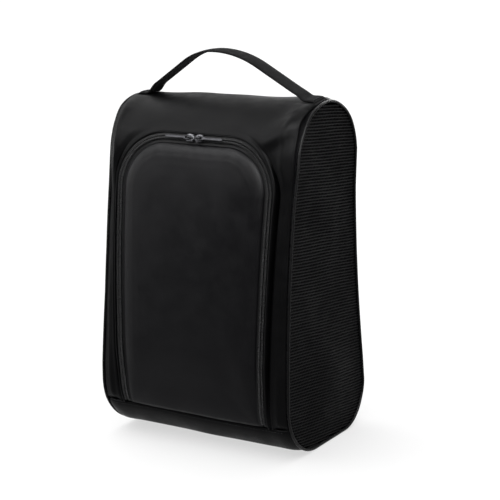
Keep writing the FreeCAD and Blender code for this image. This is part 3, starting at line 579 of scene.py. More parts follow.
def fold_at(x, tau):
    """The pull from the handle's root to the zip's corner: a broad slope with a steep far side."""
    best = np.full(np.shape(x), 1e9)
    off, height = np.zeros(np.shape(x)), np.zeros(np.shape(x))
    legs = zip(FOLD_CREST, FOLD_CREST[1:], FOLD_HEIGHT, FOLD_HEIGHT[1:])
    for (ax, at), (bx, bt), start, finish in legs:
        dx, dt = bx - ax, bt - at
        share = ((x - ax) * dx + (tau - at) * dt) / (dx * dx + dt * dt)
        inside = np.clip(share, 0, 1)
        away = np.hypot(x - ax - inside * dx, tau - at - inside * dt)
        side = np.sign(dx * (tau - at) - dt * (x - ax))
        nearer = away < best
        best = np.where(nearer, away, best)
        off = np.where(nearer, away * side, off)
        height = np.where(nearer, start + (finish - start) * inside, height)
    slope = 1 - smooth(-off / 27)
    drop = 0.85 * np.exp(-(off / 5.5) ** 2) + 0.15 * np.exp(-(off / 16.0) ** 2)
    return np.where(off < 0, slope, drop) * height


def side_edge(x):
    return SIDE_EDGE(SHELL_SIDE - np.abs(x))


def seam_ends(s, start, finish):
    """The dip of a piece's cloth into the seams at its two ends."""
    return SEAM(np.minimum(s - start, finish - s)) - 1.0


def front_lift(x, s):
    """Height of the outer skin above the outline, on the front and over the crown."""
    rising = s < RISE_END
    tau = np.where(rising, tau_at(s), PAST_CROWN_TAU)
    span, legness = arch_span(x, tau)
    out = span + PINCH * legness
    lip = LEG_LIP(out) * legness + TOP_LIP(span) * (1 - legness)
    lip = np.where(rising, lip, 0.0) * taper(s)
    outside = smooth((span - 11) / 7)
    fold = FOLD_RISE * fold_at(x, tau) + LEFT_FOLD_RISE * fold_at(-x, tau)
    ridge = np.exp(-((np.abs(x) - CREST_X) / CREST_WIDTH) ** 2)
    crest = CREST_RISE * ridge * smooth((52 - tau) / 30) * (0.35 + 0.65 * smooth((tau + 75) / 50))
    groove = (-GROOVE_DEPTH * np.exp(-((out - GROOVE_OUT) / GROOVE_WIDTH) ** 2)
              * np.exp(-((tau + 40) / 46) ** 2)
              * np.where(x > 0, 1.0, 0.4) * smooth((20 - tau) / 30))
    pressed = np.exp(-((s - CROWN_TOP) / 17) ** 4) * smooth((np.abs(x) - 84) / 14)
    low = smooth((s - FRONT_START) / 10)
    lift = (lip + groove + side_edge(x) * (0.25 + 0.75 * outside) * low
            + soft_waves(x, s) * outside * low
            + (fold * smooth((span - 7) / 6) + crest * outside) * low
            + np.where(s < 200, SEAM(s - FRONT_START) - 1.0, 0.0) * smooth((span - 9) / 6))
    return lift * (1 - 0.8 * pressed)


def skin_lift(x, s, lining):
    """Height of the front's outer skin, or of the lining below it."""
    lift = front_lift(x, s)
    return np.clip(lift, LINING_LOW, LINING_HIGH) - LINING_DEPTH if lining else lift


def rim_point(angle):
    """Where a ray from the corner's centre meets the rectangle round the zip."""
    return min(size / way for size, way in ((SHELL_SIDE - CORNER_HALF, math.cos(angle)),
                                            (RIM_TAU + CORNER_RADIUS, math.sin(angle)))
               if way > 1e-6)


def front_band(lining):
    """Rings from the zip's lip out to a rectangle: the part of the front round the zip."""
    break_angle = math.atan2(RIM_TAU + CORNER_RADIUS, SHELL_SIDE - CORNER_HALF)
    corner = np.unique(np.concatenate([np.linspace(-LEAN, break_angle, 22),
                                       np.linspace(break_angle, math.pi / 2, 15)]))
    half = np.concatenate([np.linspace(0, LEG, 86)[:-1], LEG + (corner + LEAN) * CORNER_RADIUS,
                           LEG + CORNER + np.linspace(0, CORNER_HALF, 20)[1:]])
    u_all = np.concatenate([half, ARCH - half[-2::-1]])
    share = np.linspace(0, 1, 40) ** 1.45
    begin = LIP_OUTER if lining else LIP_INNER - PINCH
    low = s_at_height(BASE_SEAM + (0.2 if lining else 0.0))
    xs, ss = [], []
    for u in u_all:
        run, side = min(u, ARCH - u), -1 if u < ARCH / 2 else 1
        if run < LEG:
            x, s, _ = arch(run, 0.0, 0.0)
            middle = abs(float(x))
            xs.append(side * (middle + begin + share * (SHELL_SIDE - middle - begin)))
            s = low + (float(s) - FOOT_S) * (1 + (FOOT_S - low) / LEG)
            ss.append(np.full(len(share), s))
            continue
        if run <= LEG + CORNER:
            angle = (run - LEG) / CORNER_RADIUS - LEAN
            radius = CORNER_RADIUS + begin + share * (rim_point(angle) - CORNER_RADIUS - begin)
            x = CORNER_HALF + radius * math.cos(angle)
            tau = -CORNER_RADIUS + radius * math.sin(angle)
        else:
            x = np.full(len(share), ARCH / 2 - run)
            tau = begin + share * (RIM_TAU - begin)
        s = s_at_tau(tau, 0.0)
        xs.append(side * x)
        ss.append(s if lining else s_at_tau(tau, front_lift(x, s)))
    xs, ss = np.array(xs), np.array(ss)
    return xs, ss, skin_lift(xs, ss, lining), u_all


def over_crown(rim_x, rim_s, rim_lift, lining):
    """The rest of the front piece: from the rectangle's top, over the crown, to the back seam."""
    xs = np.broadcast_to(rim_x, (CROWN_ROWS, len(rim_x)))
    ss = rim_s + np.linspace(0, 1, CROWN_ROWS)[:, None] * (FRONT_END - rim_s)
    lift = skin_lift(xs, ss, lining) + (SEAM(FRONT_END - ss) - 1.0)
    lift[0] = rim_lift
    return xs, ss, lift


def front_sheet(name, lining, finish, nodes):
    xs, ss, lift, u_all = front_band(lining)
    on_top = np.abs(xs[:, -1]) < SHELL_SIDE - 1e-6
    rim = slice(np.argmax(on_top) - 1, len(on_top) - np.argmax(on_top[::-1]) + 1)
    crown = over_crown(xs[rim, -1], ss[rim, -1], lift[rim, -1], lining)
    grids = [(place(xs, ss, lift), pairs(xs, ss)), (place(*crown), pairs(*crown[:2]))]
    if not lining:
        # The lip turns in beside the zip's tape and back under the foam.
        section = [(LIP_OUTER, -4.8), (LIP_INNER + 0.3, -4.8), (LIP_INNER, -4.0), (LIP_INNER, 2.0)]
        pinch = PINCH * leg_share(u_all)
        rows = [arch_place(u_all, span - pinch, height) for span, height in section]
        inner = np.stack(rows + [place(xs[:, 0], ss[:, 0], lift[:, 0])], 1)
        grids.append((inner, pairs(u_all[:, None], 4.0 * np.arange(5))))
    return grid_piece(name, grids, "bag_body", finish, nodes)


def wrap_sheet(name, start, finish_s, lift_of, finish, nodes, rows=90, columns=96):
    """A plain piece of the shell between two distances round the outline."""
    spread = np.sin(np.linspace(-1, 1, columns) * math.pi / 2)
    xs = SHELL_SIDE * np.broadcast_to(spread, (rows, columns))
    ss = np.broadcast_to(np.linspace(start, finish_s, rows)[:, None], (rows, columns))
    grids = [(place(xs, ss, lift_of(xs, ss)), pairs(xs, ss))]
    return grid_piece(name, grids, "bag_body", finish, nodes)


def back_lift(x, s):
    return side_edge(x) + seam_ends(s, BACK_START, BACK_END) + soft_waves(x, s)


def base_lift(x, s):
    edge, height = side_edge(x), ring_at(s % ROUND)[1]
    free = smooth((height - 1.0) / 12)
    lying = np.minimum(edge - 2.0, -0.05)
    return ((edge + soft_waves(x, s) + 0.3) * free + lying * (1 - free)
            + seam_ends(s, BASE_START, BASE_END))


shell_front = front_sheet("shell_front", False, SHELL, ("front_panel", "door_gusset"))
lining_front = front_sheet("lining_front", True, LINING, ("front_lining", "front_foam"))
shell_back = wrap_sheet("shell_back", BACK_START, BACK_END, back_lift, SHELL, ("back_panel",))
shell_base = wrap_sheet("shell_base", BASE_START, BASE_END, base_lift, SHELL, ("base_panel",))
for piece in (shell_front, shell_back, shell_base):
    thicken(piece, 1.0)
lining_back = wrap_sheet("lining_back", BACK_START, BACK_END,
                         lambda x, s: soft_waves(x, s) * 0.6 - LINING_DEPTH, LINING,
                         ("back_lining", "back_foam"), 60, 40)
lining_base = wrap_sheet("lining_base", BASE_START, BASE_END, lambda x, s: 0 * x - LINING_DEPTH,
                         LINING, ("base_lining", "base_board"), 60, 30)
for piece in (lining_front, lining_back, lining_base):
    thicken(piece, 0.6, 0.0)


# ------------------------------------------------------------------ piping, mesh and side binding
PIPING_RADIUS, PIPING_SIDES, PIPING_STEP = 1.6, 14, 4.0
MESH_PITCH, MESH_RIB, MESH_LINK, MESH_DROP = 3.2, 1.5, 0.8, math.radians(7.0)
# The seam binding inside, a flat tape with rounded edges, as (distance from the middle, lift).
INSIDE_TAPE = np.array([(108.2, -6.0), (108.0, -5.5), (108.2, -5.0), (109.9, -4.9), (111.4, -5.0),
                        (111.7, -5.5), (111.4, -6.0), (109.9, -6.1)])


def round_the_outline(count):
    return np.linspace(0, ROUND, count, endpoint=False)


def outline_at(side, inset):
    """The side outline at an inset, as (y, z) points about a millimetre apart."""
    return place(side * MESH_X, round_the_outline(round(ROUND)), -inset)[:, 1:]


def chord(shape, z):
    """Where a level line crosses an outline."""
    nxt = np.roll(shape, -1, axis=0)
    crossing = (shape[:, 1] - z) * (nxt[:, 1] - z) < 0
    a, b = shape[crossing], nxt[crossing]
    y = a[:, 0] + (z - a[:, 1]) / (b[:, 1] - a[:, 1]) * (b[:, 0] - a[:, 0])
    return float(y.min()), float(y.max())


def belly(y, z):
    """The mesh isn't quite flat: it bows out low down and wavers towards the top."""
    near_edge = smooth((z - 6) / 40) * smooth((355 - z) / 60)
    across = np.exp(-((y - 8) / 38) ** 2)
    return near_edge * across * (2.0 * np.exp(-((z - 70) / 60) ** 2)
                                 + 0.7 * np.sin(z / 31.0) + 0.4 * np.sin(z / 13.0 + y / 19.0))


def net(side):
    """The open face of the mesh: rounded ribs joined by short links, with real holes."""
    turn = np.array([[math.cos(MESH_DROP), -math.sin(MESH_DROP)],
                     [math.sin(MESH_DROP), math.cos(MESH_DROP)]])
    shape = outline_at(side, MESH_INSET - 0.5) @ turn.T
    low, high = shape[:, 1].min() + 1.2, shape[:, 1].max() - 1.2
    levels = np.arange(low, high, MESH_PITCH)
    points, uvs, faces, ribs = [], [], [], []
    for row, z in enumerate(levels):
        y0, y1 = chord(shape, z)
        shift = MESH_PITCH / 2 if row % 2 else 0.0
        middles = np.arange(math.floor(y0 / MESH_PITCH) * MESH_PITCH + shift, y1, MESH_PITCH)
        below = middles[(middles > y0 + MESH_LINK) & (middles < y1 - MESH_LINK)]
        above = below + MESH_PITCH / 2
        above = above[above < y1 - MESH_LINK]
        marks = sorted({y0, y1, *(below - MESH_LINK / 2), *(below + MESH_LINK / 2),
                        *(above - MESH_LINK / 2), *(above + MESH_LINK / 2)})
        where = {}
        for y in marks:
            wave = 0.28 * math.sin(y / 17 + z / 23) + 0.12 * math.sin(y / 5.3 + z)
            pinch = 0.85 + 0.15 * math.sin(y * 2.1 + row)
            ends = min(1.0, (min(y - y0, y1 - y) + 0.4) / 2)
            where[round(y, 4)] = len(points)
            for across, rise in ((-0.5, 0.25), (-0.22, 0.9), (0.22, 0.9), (0.5, 0.25)):
                zz = z + wave + across * MESH_RIB * pinch
                spot = np.array([y, zz]) @ turn
                out = side * (MESH_X + 0.35 + rise * 0.85 * ends + belly(*spot))
                points.append((out + widen(side * MESH_X, spot[1]), *spot))
                uvs.append((y, zz))
        for a, b in zip(marks, marks[1:]):
            i, j = where[round(a, 4)], where[round(b, 4)]
            for k in range(3):
                faces.append((i + k, j + k, j + k + 1, i + k + 1))
        ribs.append((where, below, above))
    for (lower, _, above), (upper, below, _) in zip(ribs, ribs[1:]):
        for y in below:
            a, b = round(y - MESH_LINK / 2, 4), round(y + MESH_LINK / 2, 4)
            near = [m for m in above if abs(m - y) < 0.01]
            if near and a in upper and b in upper:
                c = round(near[0] - MESH_LINK / 2, 4)
                d = round(near[0] + MESH_LINK / 2, 4)
                faces.append((lower[c] + 3, lower[d] + 3, upper[b], upper[a]))
    return np.array(points), np.array(uvs), faces


def flat_disc(side, x, inset, columns, rows):
    """A sheet that fills the side outline, row by row."""
    shape = outline_at(side, inset)
    low, high = shape[:, 1].min() + 0.05, shape[:, 1].max() - 0.05
    levels = (low + high) / 2 - (high - low) / 2 * np.cos(np.linspace(0, math.pi, rows))
    ys = np.array([np.linspace(*chord(shape, z), columns) for z in levels])
    zs = np.broadcast_to(levels[:, None], ys.shape)
    xs = side * (x + belly(ys, zs)) + widen(side * MESH_X, zs)
    return np.stack([xs, ys, zs], -1), pairs(ys, zs)


for side, label in ((-1, "left"), (1, "right")):
    s = round_the_outline(round(ROUND / PIPING_STEP))[:, None]
    angle = np.linspace(0, 2 * math.pi, PIPING_SIDES, endpoint=False)
    ring = place(side * PIPING_X, s, -PIPING_INSET + PIPING_RADIUS * np.sin(angle))
    ring[..., 0] = (side * PIPING_X + PIPING_RADIUS * np.cos(angle)
                    + widen(side * PIPING_X, ring[..., 2]))
    grid_piece("piping_cover_" + label, [(ring, pairs(s, PIPING_RADIUS * angle))], "bag_body",
               PIPING, ("piping_" + label, "piping_cord_" + label), False, CLOSED_TUBE)
    points, uvs, faces = net(side)
    face = new_piece("mesh_face_" + label, points, faces, uvs, "bag_body", NET)
    # A near-black sheet just behind the net: painted shade for the bag's dark inside, seen through
    # the holes.
    disc, uv = flat_disc(side, MESH_X + 0.15, MESH_INSET - 0.9, 40, 120)
    shade_sheet = grid_piece("mesh_painted_shade_" + label, [(disc, uv)], "bag_body", SHADE_SHEET,
                         ("side_mesh_" + label,))
    s = round_the_outline(260)[:, None]
    band = place(side * INSIDE_TAPE[:, 0], s, INSIDE_TAPE[:, 1])
    grid_piece("inside_binding_" + label, [(band, pairs(s, np.arange(8) * 1.2))], "bag_body",
               BINDING, ("seam_binding_" + label,), False, CLOSED_TUBE)


# ------------------------------------------------------------------ the door
DOOR_EDGE = -5.0
DOOR_ROLL = table_curve(
    0.5, (0.0, 4.5), (0.5, 5.7), (1.3, 7.1), (2.6, 8.5), (5.0, 10.0), (9.0, 11.6), (15.0, 13.2),
    (23.0, 14.6), (35.0, 15.9), (55.0, 16.9), (80.0, 17.2))
DOOR_BACK = 3.5
CLOTH_FRAMES, CLOTH_PRESSURE = 20, 2.0
# The cloth moves at most this far, and its pad starts this much thinner than it ends.
CLOTH_CAP, PUFF_ROOM = 4.0, 2.5


def door_rows(leg_step, corner_step, columns):
    """Rows down the door: distance along the zip, half width, distance round, and the shares."""
    half = stations(leg_step, corner_step, 1.0)
    u = half[half <= LEG + CORNER + 1e-6][::-1]
    x, s, _ = arch(u, DOOR_EDGE, 4.0)
    return u, np.abs(x)[:, None], s[:, None], np.linspace(-1, 1, columns)[None, :]


def door_inside(x, s):
    """How far a point is inside the door's edge, and above its foot."""
    span, _ = arch_span(x, tau_at(s) + 4.0 * tilt_at(s))
    return np.maximum(DOOR_EDGE - span, 0), np.maximum(s - FOOT_S, 0)


def door_lift(x, s):
    inside, foot = door_inside(x, s)
    low, high = DOOR_ROLL(foot * 1.1), DOOR_ROLL(inside)
    both = -4.0 * np.log(np.exp(-low / 4.0) + np.exp(-high / 4.0))
    lift = np.minimum(both + 1.2, high) * taper(s)
    waves = soft_waves(x * 0.8 + 40, s) * smooth((inside - 6) / 25)
    pucker = 0.35 * np.sin(x / 2.7 + 0.6 * np.sin(x / 9)) * np.exp(-((inside - 7) / 7.0) ** 2)
    return lift + 0.8 * waves + pucker * smooth((s - FOOT_S - LEG - 20) / 40)


def door_back(x, s):
    inside, _ = door_inside(x, s)
    quilt = 0.35 * (np.cos(x / 9.0) * np.cos(s / 9.0))
    return (DOOR_BACK + quilt * smooth(inside / 20)) * taper(s)


def puff_room(x, s):
    return PUFF_ROOM * smooth(np.minimum(*door_inside(x, s)) / 42)


def inflate(outer, inner, held):
    """Blow up a closed pad with cloth simulation; returns how far its outer points move (mm)."""
    rows, columns = outer.shape[:2]
    count = rows * columns
    points = np.concatenate([outer.reshape(-1, 3), inner.reshape(-1, 3)])
    faces = grid_faces(rows, columns)
    faces += [tuple(count + i for i in reversed(face)) for face in grid_faces(rows, columns)]
    rim = ([j for j in range(columns)] + [i * columns + columns - 1 for i in range(1, rows)]
           + [(rows - 1) * columns + j for j in range(columns - 2, -1, -1)]
           + [i * columns for i in range(rows - 2, 0, -1)])
    faces += [(b, a, a + count, b + count) for a, b in zip(rim, rim[1:] + rim[:1])]
    mesh = bpy.data.meshes.new("inflating")
    mesh.from_pydata((points * MM).tolist(), [], faces)
    mesh.flip_normals()
    pad = bpy.data.objects.new("inflating", mesh)
    bpy.context.scene.collection.objects.link(pad)
    pins = pad.vertex_groups.new(name="held")
    for k, weight in enumerate(np.concatenate([held.ravel(), np.ones(count)])):
        if weight > 0:
            pins.add([k], float(weight), "REPLACE")
    cloth = pad.modifiers.new("cloth", "CLOTH")
    settings = cloth.settings
    settings.vertex_group_mass = "held"
    settings.use_pressure, settings.uniform_pressure_force = True, CLOTH_PRESSURE
    settings.effector_weights.gravity = 0
    settings.quality, settings.mass, settings.bending_stiffness = 5, 0.3, 0.3
    cloth.collision_settings.use_collision = False
    for number in range(1, CLOTH_FRAMES + 1):
        bpy.context.scene.frame_set(number)
    result = pad.evaluated_get(bpy.context.evaluated_depsgraph_get()).data
    moved = np.zeros(len(result.vertices) * 3)
    result.vertices.foreach_get("co", moved)
    moved = moved.reshape(-1, 3)[:count] / MM - points[:count]
    bpy.context.scene.frame_set(1)
    bpy.data.objects.remove(pad)
    bpy.data.meshes.remove(mesh)
    size = np.linalg.norm(moved, axis=1)
    moved *= (CLOTH_CAP * np.tanh(size / CLOTH_CAP) / np.maximum(size, 1e-6))[:, None]
    return moved.reshape(rows, columns, 3)


def door_puff():
    """Cloth simulation of the door's pad on an even grid: (distances, shares, moves)."""
    u, width, s, share = door_rows(5.0, 3.5, 51)
    x, s = width * share, s + 0 * share
    held = 1 - smooth((np.minimum(*door_inside(x, s)) - 2) / 7)
    outer = place(x, s, door_lift(x, s) - puff_room(x, s))
    moved = inflate(outer, place(x, s, DOOR_BACK * taper(s)), held)
    for _ in range(6):
        moved[1:-1] = (moved[:-2] + 2 * moved[1:-1] + moved[2:]) / 4
        moved[:, 1:-1] = (moved[:, :-2] + 2 * moved[:, 1:-1] + moved[:, 2:]) / 4
    return u[::-1], share[0], moved[::-1]


def door_skin(name, lift_of, finish, nodes, puff=None):
    u, width, s, share = door_rows(3.2, 2.2, 77)
    # Columns are drawn closer together near the edge, so that the roll is smooth.
    crowded = np.sign(share) * (1 - (1 - np.abs(share)) ** 1.7)
    below = np.clip((s[0] - s) / 25, 0, 1)
    share = share * (1 - below) + crowded * below
    xs, ss = width * share, s + 0 * share
    points = place(xs, ss, lift_of(xs, ss) - (puff_room(xs, ss) if puff else 0))
    if puff:
        u_known, share_known, moved = puff
        for k in range(3):
            rows = np.stack([np.interp(u, u_known, column) for column in moved[:, :, k].T], 1)
            points[..., k] += np.stack([np.interp(at, share_known, row)
                                        for at, row in zip(share, rows)])
    return grid_piece(name, [(points, pairs(xs, ss))], "door", finish, nodes)


door_pad = door_skin("door_pad", door_lift, DOOR, ("door_panel", "door_foam"),
                     door_puff())
thicken(door_pad, 1.0)
thicken(door_skin("door_inside", door_back, LINING, ("door_lining",)), 0.6, 0.0)


# ------------------------------------------------------------------ strips along the zip
# Sections as (span, lift).  A strip past the coil's edge is narrower beside the legs.
TAPE_SECTION = [(0.65, 5.25), (0.65, 5.8), (3.0, 5.95), (5.6, 5.8), (6.5, 5.85), (7.15, 5.6),
                (7.15, 5.1), (3.6, 5.15)]
BINDING_SECTION = [(-6.5, 3.9), (-6.5, 4.3), (-6.9, 4.7), (-7.5, 4.8), (-8.1, 4.6), (-8.4, 4.2),
                   (-8.4, 3.4), (-7.5, 3.2), (-6.7, 3.4)]
COIL_EDGE, LEG_NARROWING = 3.5, 0.82
COIL_PITCH, COIL_WIRE, COIL_STEPS, COIL_SIDES = 1.45, 0.36, 12, 6


def zip_strip(name, section, body, finish, nodes):
    """A strip with one cross-section all along the zip."""
    u = stations(3.2, 2.0, 2.4)[:, None]
    span, lift = np.array(section).T
    narrow = COIL_EDGE + (span - COIL_EDGE) * (1 - LEG_NARROWING * leg_share(u))
    points = arch_place(u, np.where(span > COIL_EDGE, narrow, span), lift)
    grid_piece(name, [(points, pairs(u, lengths(section)))], body, finish, nodes, loops=TUBE,
               caps=1)


def coil_row(name, sign, body, nodes):
    """One row of the zip: a wire wound into flattened loops along the tape."""
    turns = int((ARCH - 3) / COIL_PITCH)
    theta = np.linspace(0, turns * 2 * math.pi, turns * COIL_STEPS + 1)
    u = 1.5 + theta / (2 * math.pi) * COIL_PITCH
    span = sign * (1.62 + 1.22 * np.cos(theta))
    lift = 6.95 + 0.62 * np.sin(theta)
    points = tube_rows(arch_place(u, span, lift), COIL_WIRE, COIL_SIDES,
                       normals_at(arch(u, span, lift)[1]))
    angle = np.linspace(0, 2 * math.pi, COIL_SIDES, endpoint=False)
    grid_piece(name, [(points, pairs(u[:, None], angle))], body, COIL, nodes, False, TUBE)


zip_strip("tape_outer", TAPE_SECTION, "bag_body", TAPE, ("zip_tape_outer",))
zip_strip("tape_inner", [(-min(span, 6.4), lift) for span, lift in TAPE_SECTION], "door", TAPE,
          ("zip_tape_inner",))
zip_strip("door_edge_binding", BINDING_SECTION, "door", BINDING, ("door_binding",))
coil_row("coil_outer", 1, "bag_body", ("zip_coil_outer",))
coil_row("coil_inner", -1, "door", ("zip_coil_inner",))


# ------------------------------------------------------------------ stitching
# How thick a stitch is at each share of its length, and how deep it sinks into the cloth.
STITCH_PROFILE = [(0.0, 0.45), (0.18, 0.95), (0.5, 1.1), (0.82, 0.95), (1.0, 0.45)]
STITCH_SINK = 0.12


def stitches(name, line, normals, body, length, gap, width):
    """Short rounded bars of thread along a line of points."""
    reach = lengths(line)

    def along(rows, at):
        return np.array([np.interp(at, reach, column) for column in rows.T])

    points, faces, uvs = [], [], []
    for start in np.arange(gap, reach[-1] - length - gap, length + gap):
        base = len(points)
        for share, size in STITCH_PROFILE:
            at = start + share * length
            centre, up = along(line, at), along(normals, at)
            aside = np.cross(along(line, at + 0.3) - centre, up)
            aside /= np.linalg.norm(aside) + 1e-9
            for a in range(6):
                turn = a * math.pi / 3
                points.append(centre + up * (width / 2 * size * math.sin(turn) + width / 2
                                             - STITCH_SINK)
                              + aside * width / 2 * size * math.cos(turn))
                uvs.append((at, a * 0.2))
        faces += grid_faces(5, 6, base, loop_columns=True)
        faces += [tuple(range(base + 5, base - 1, -1)), tuple(range(base + 24, base + 30))]
    new_piece(name, points, faces, uvs, body, THREAD)


def seam_row(name, s, lift_of):
    """A row of stitches across the shell at one distance round the outline."""
    xs = np.linspace(-SHELL_SIDE + 2.5, SHELL_SIDE - 2.5, 240)
    s = np.full(len(xs), s)
    stitches(name, place(xs, s, lift_of(xs, s) + 0.1), normals_at(s), "bag_body", 2.6, 1.1, 0.4)


zip_u = np.linspace(1, ARCH - 1, 500)
for name, span, lift, body in (
        ("stitch_tape_outer", 5.2, 6.8 + 0.95 * leg_share(zip_u), "bag_body"),
        ("stitch_tape_inner", -4.0, 5.85, "door")):
    stitches(name, arch_place(zip_u, span, lift), normals_at(arch(zip_u, span, lift)[1]), body,
             2.1, 0.9, 0.42)


# ------------------------------------------------------------------ sliders and pulls
ZIP_NORMAL = np.array([0.0, -math.cos(ZIP_TILT), math.sin(ZIP_TILT)])
ZIP_UP = np.array([0.0, math.sin(ZIP_TILT), math.cos(ZIP_TILT)])
# The pull's axis above the zip, its half width by distance from the axis, and its section.
PULL_AXIS = 10.8
PULL_ROWS = np.linspace(0, 30, 41)
PULL_HALF = np.interp(PULL_ROWS, [0, 0.8, 2.4, 5.0, 7.0, 10.0, 24.0, 27.5, 29.3, 30.0],
                      [1.7, 2.4, 2.6, 2.5, 1.5, 1.2, 1.5, 1.6, 1.2, 0.4])
PULL_SECTION = [(-1, 0.0), (-0.92, 0.5), (-0.7, 0.75), (-0.45, 0.62), (0.45, 0.62), (0.7, 0.75),
                (0.92, 0.5), (1, 0.0), (0.92, -0.5), (0.5, -0.75), (-0.5, -0.75), (-0.92, -0.5)]
# The first and last rows of the hole in the pull's ring.
HOLE = (1, 7)
PLATE_POINTS, PLATE_POWER = 40, 3.2
WELD = 0.000001


def on_zip(points, middle):
    """From a slider's own frame (x along the zip, y across it, z outwards) to the bag's."""
    start = np.array([middle, CROWN[0], CROWN[1]]) + CROWN_RADIUS * ZIP_NORMAL
    return (start + points[:, :1] * np.array([1.0, 0, 0]) + points[:, 1:2] * ZIP_UP
            + points[:, 2:] * ZIP_NORMAL)


def extruded(base, low, high, dome=0.0):
    """A plate with that outline, with its upper edge rounded by two steps."""
    centre, count = base.mean(axis=0), len(base)
    inward = centre - base
    inward /= np.linalg.norm(inward, axis=1)[:, None] + 1e-9
    points = [np.column_stack([base + inward * shrink, np.full(count, height)])
              for height, shrink in ((low, 0.0), (high - 0.35, 0.0), (high - 0.1, 0.16),
                                     (high, 0.42))]
    points = np.vstack(points + [[[*centre, high + dome]]])
    faces = grid_faces(4, count, loop_columns=True) + [tuple(range(count - 1, -1, -1))]
    faces += [(3 * count + k, 3 * count + (k + 1) % count, 4 * count) for k in range(count)]
    return points, faces


def rounded_plate(half_length, half_width, nose, shift=(0, 0)):
    """A soft oblong that narrows towards its nose end."""
    turn = np.linspace(0, 2 * math.pi, PLATE_POINTS, endpoint=False)
    c, s = np.cos(turn), np.sin(turn)
    x = half_length * np.sign(c) * np.abs(c) ** (2 / PLATE_POWER)
    y = half_width * np.sign(s) * np.abs(s) ** (2 / PLATE_POWER)
    return np.column_stack([x, y * (1 - nose * smooth((x / half_length + 0.1) / 1.1))]) + shift


def tube(path, radius, sides=10):
    """A round bar along a path, with flat ends."""
    path = np.array(path, float)
    forward = np.gradient(path, axis=0)[0]
    across = [0.0, 1.0, 0.0] if abs(forward[1]) < 0.9 * np.linalg.norm(forward) else [1.0, 0, 0]
    points = tube_rows(path, radius, sides, across).reshape(-1, 3)
    faces = grid_faces(len(path), sides, loop_columns=True)
    return points, faces + [tuple(range(sides - 1, -1, -1)),
                            tuple(range(len(points) - sides, len(points)))]


def gather(*solids):
    points, faces = [], []
    for p, f in solids:
        first = sum(len(q) for q in points)
        faces += [tuple(first + i for i in face) for face in f]
        points.append(p)
    return np.concatenate(points), faces


def blade():
    """The pull's own plate, with a hole through its ring for the bar."""
    points = np.array([(x, y * half, PULL_AXIS + z) for x, half in zip(PULL_ROWS, PULL_HALF)
                       for y, z in PULL_SECTION])
    count, hole = len(PULL_SECTION), range(*HOLE)
    skin = [(i, j, (j + 1) % count) for i in range(len(PULL_ROWS) - 1) for j in range(count)
            if not (i in hole and j in (3, 9))]
    walls = [(i, a, b) for i in hole for a, b in ((3, 10), (4, 9))]
    skin, walls = ([(i * count + a, i * count + b, (i + 1) * count + b, (i + 1) * count + a)
                    for i, a, b in quads] for quads in (skin, walls))
    ends = [tuple(range(count - 1, -1, -1)), tuple(range(len(points) - count, len(points)))]
    return points, skin + ends + walls + [tuple(i * count + j for j in (3, 4, 9, 10)) for i in HOLE]


def slider_and_pull(label, middle):
    """The slider's body with its bridge, and the pull that hangs on it."""
    nose = 1 if label == "left" else -1
    bridge = [(2.9 * math.cos(t), 0, 9.3 + 3.3 * math.sin(t) ** 0.8)
              for t in np.linspace(0.0, math.pi, 15)]
    body = [extruded(rounded_plate(5.0, 4.3, 0.30), 3.2, 4.7),
            extruded(rounded_plate(5.0, 4.3, 0.34), 8.3, 9.6, 0.25),
            *(extruded(rounded_plate(4.0, 0.35, 0.0, [-0.5, y]), 7.9, 8.7) for y in (-3.7, 3.7)),
            extruded(rounded_plate(1.5, 0.25, 0.0, [3.4, 0]), 4.6, 8.4), tube(bridge, 0.8)]
    bar = tube([(0, y, PULL_AXIS) for y in np.linspace(-2.8, 2.8, 9)],
               [0.5, 0.7, 0.75, 0.75, 0.75, 0.75, 0.75, 0.7, 0.5])
    for name, solids, way, node, finish in (
            ("slider_body_", body, nose, "slider_", SLIDER),
            ("pull_tab_", [blade(), bar], -nose, "pull_", PULL)):
        points, faces = gather(*solids)
        piece = new_piece(name + label, on_zip(points * [way, 1, 1], middle), faces, None,
                          node + label, finish, (node + label,))
        weld(piece, WELD)
        soft_edges = piece.modifiers.new("soft_edges", "SUBSURF")
        soft_edges.levels = soft_edges.render_levels = 1


for joint in frame["joints"]:
    if joint["name"].startswith("pull_"):
        slider_and_pull("left" if "left" in joint["name"] else "right", joint["pos_m"][0] / MM)


# ------------------------------------------------------------------ the handle
STRAP_Y, STRAP_HALF_WIDTH, STRAP_HALF = 5.0, 12.5, 1.2
STRAP_END, STRAP_SOFT, FOOT_HEIGHT = 110.8, 0.7, 370.4
# How much the strap curls, the height where that begins, and the places in x where the strap
# begins to meet the crown, to lie on it and to turn down.
STRAP_CURL, CURL_FROM, MEETS_CROWN, LIES_DOWN, TURNS_DOWN = 0.9, 382, 84, 86, 106.5
# The strap's peak in XZ, and each half's bend: its radius, its slope and its foot's radius.
PEAK = (-12.0, 418.0)
BENDS = {-1: (66.0, math.radians(35.6), 12.0), 1: (107.0, math.radians(29.4), 20.0)}
STRAP_TOP = [(-1.0, 0.0), (-0.97, 0.7), (-0.86, 1.0), (-0.6, 0.86), (-0.3, 0.92), (0.0, 0.86),
             (0.3, 0.92), (0.6, 0.86), (0.86, 1.0), (0.97, 0.7)]
STRAP_SECTION = np.array(STRAP_TOP + [(-across, -up) for across, up in STRAP_TOP])


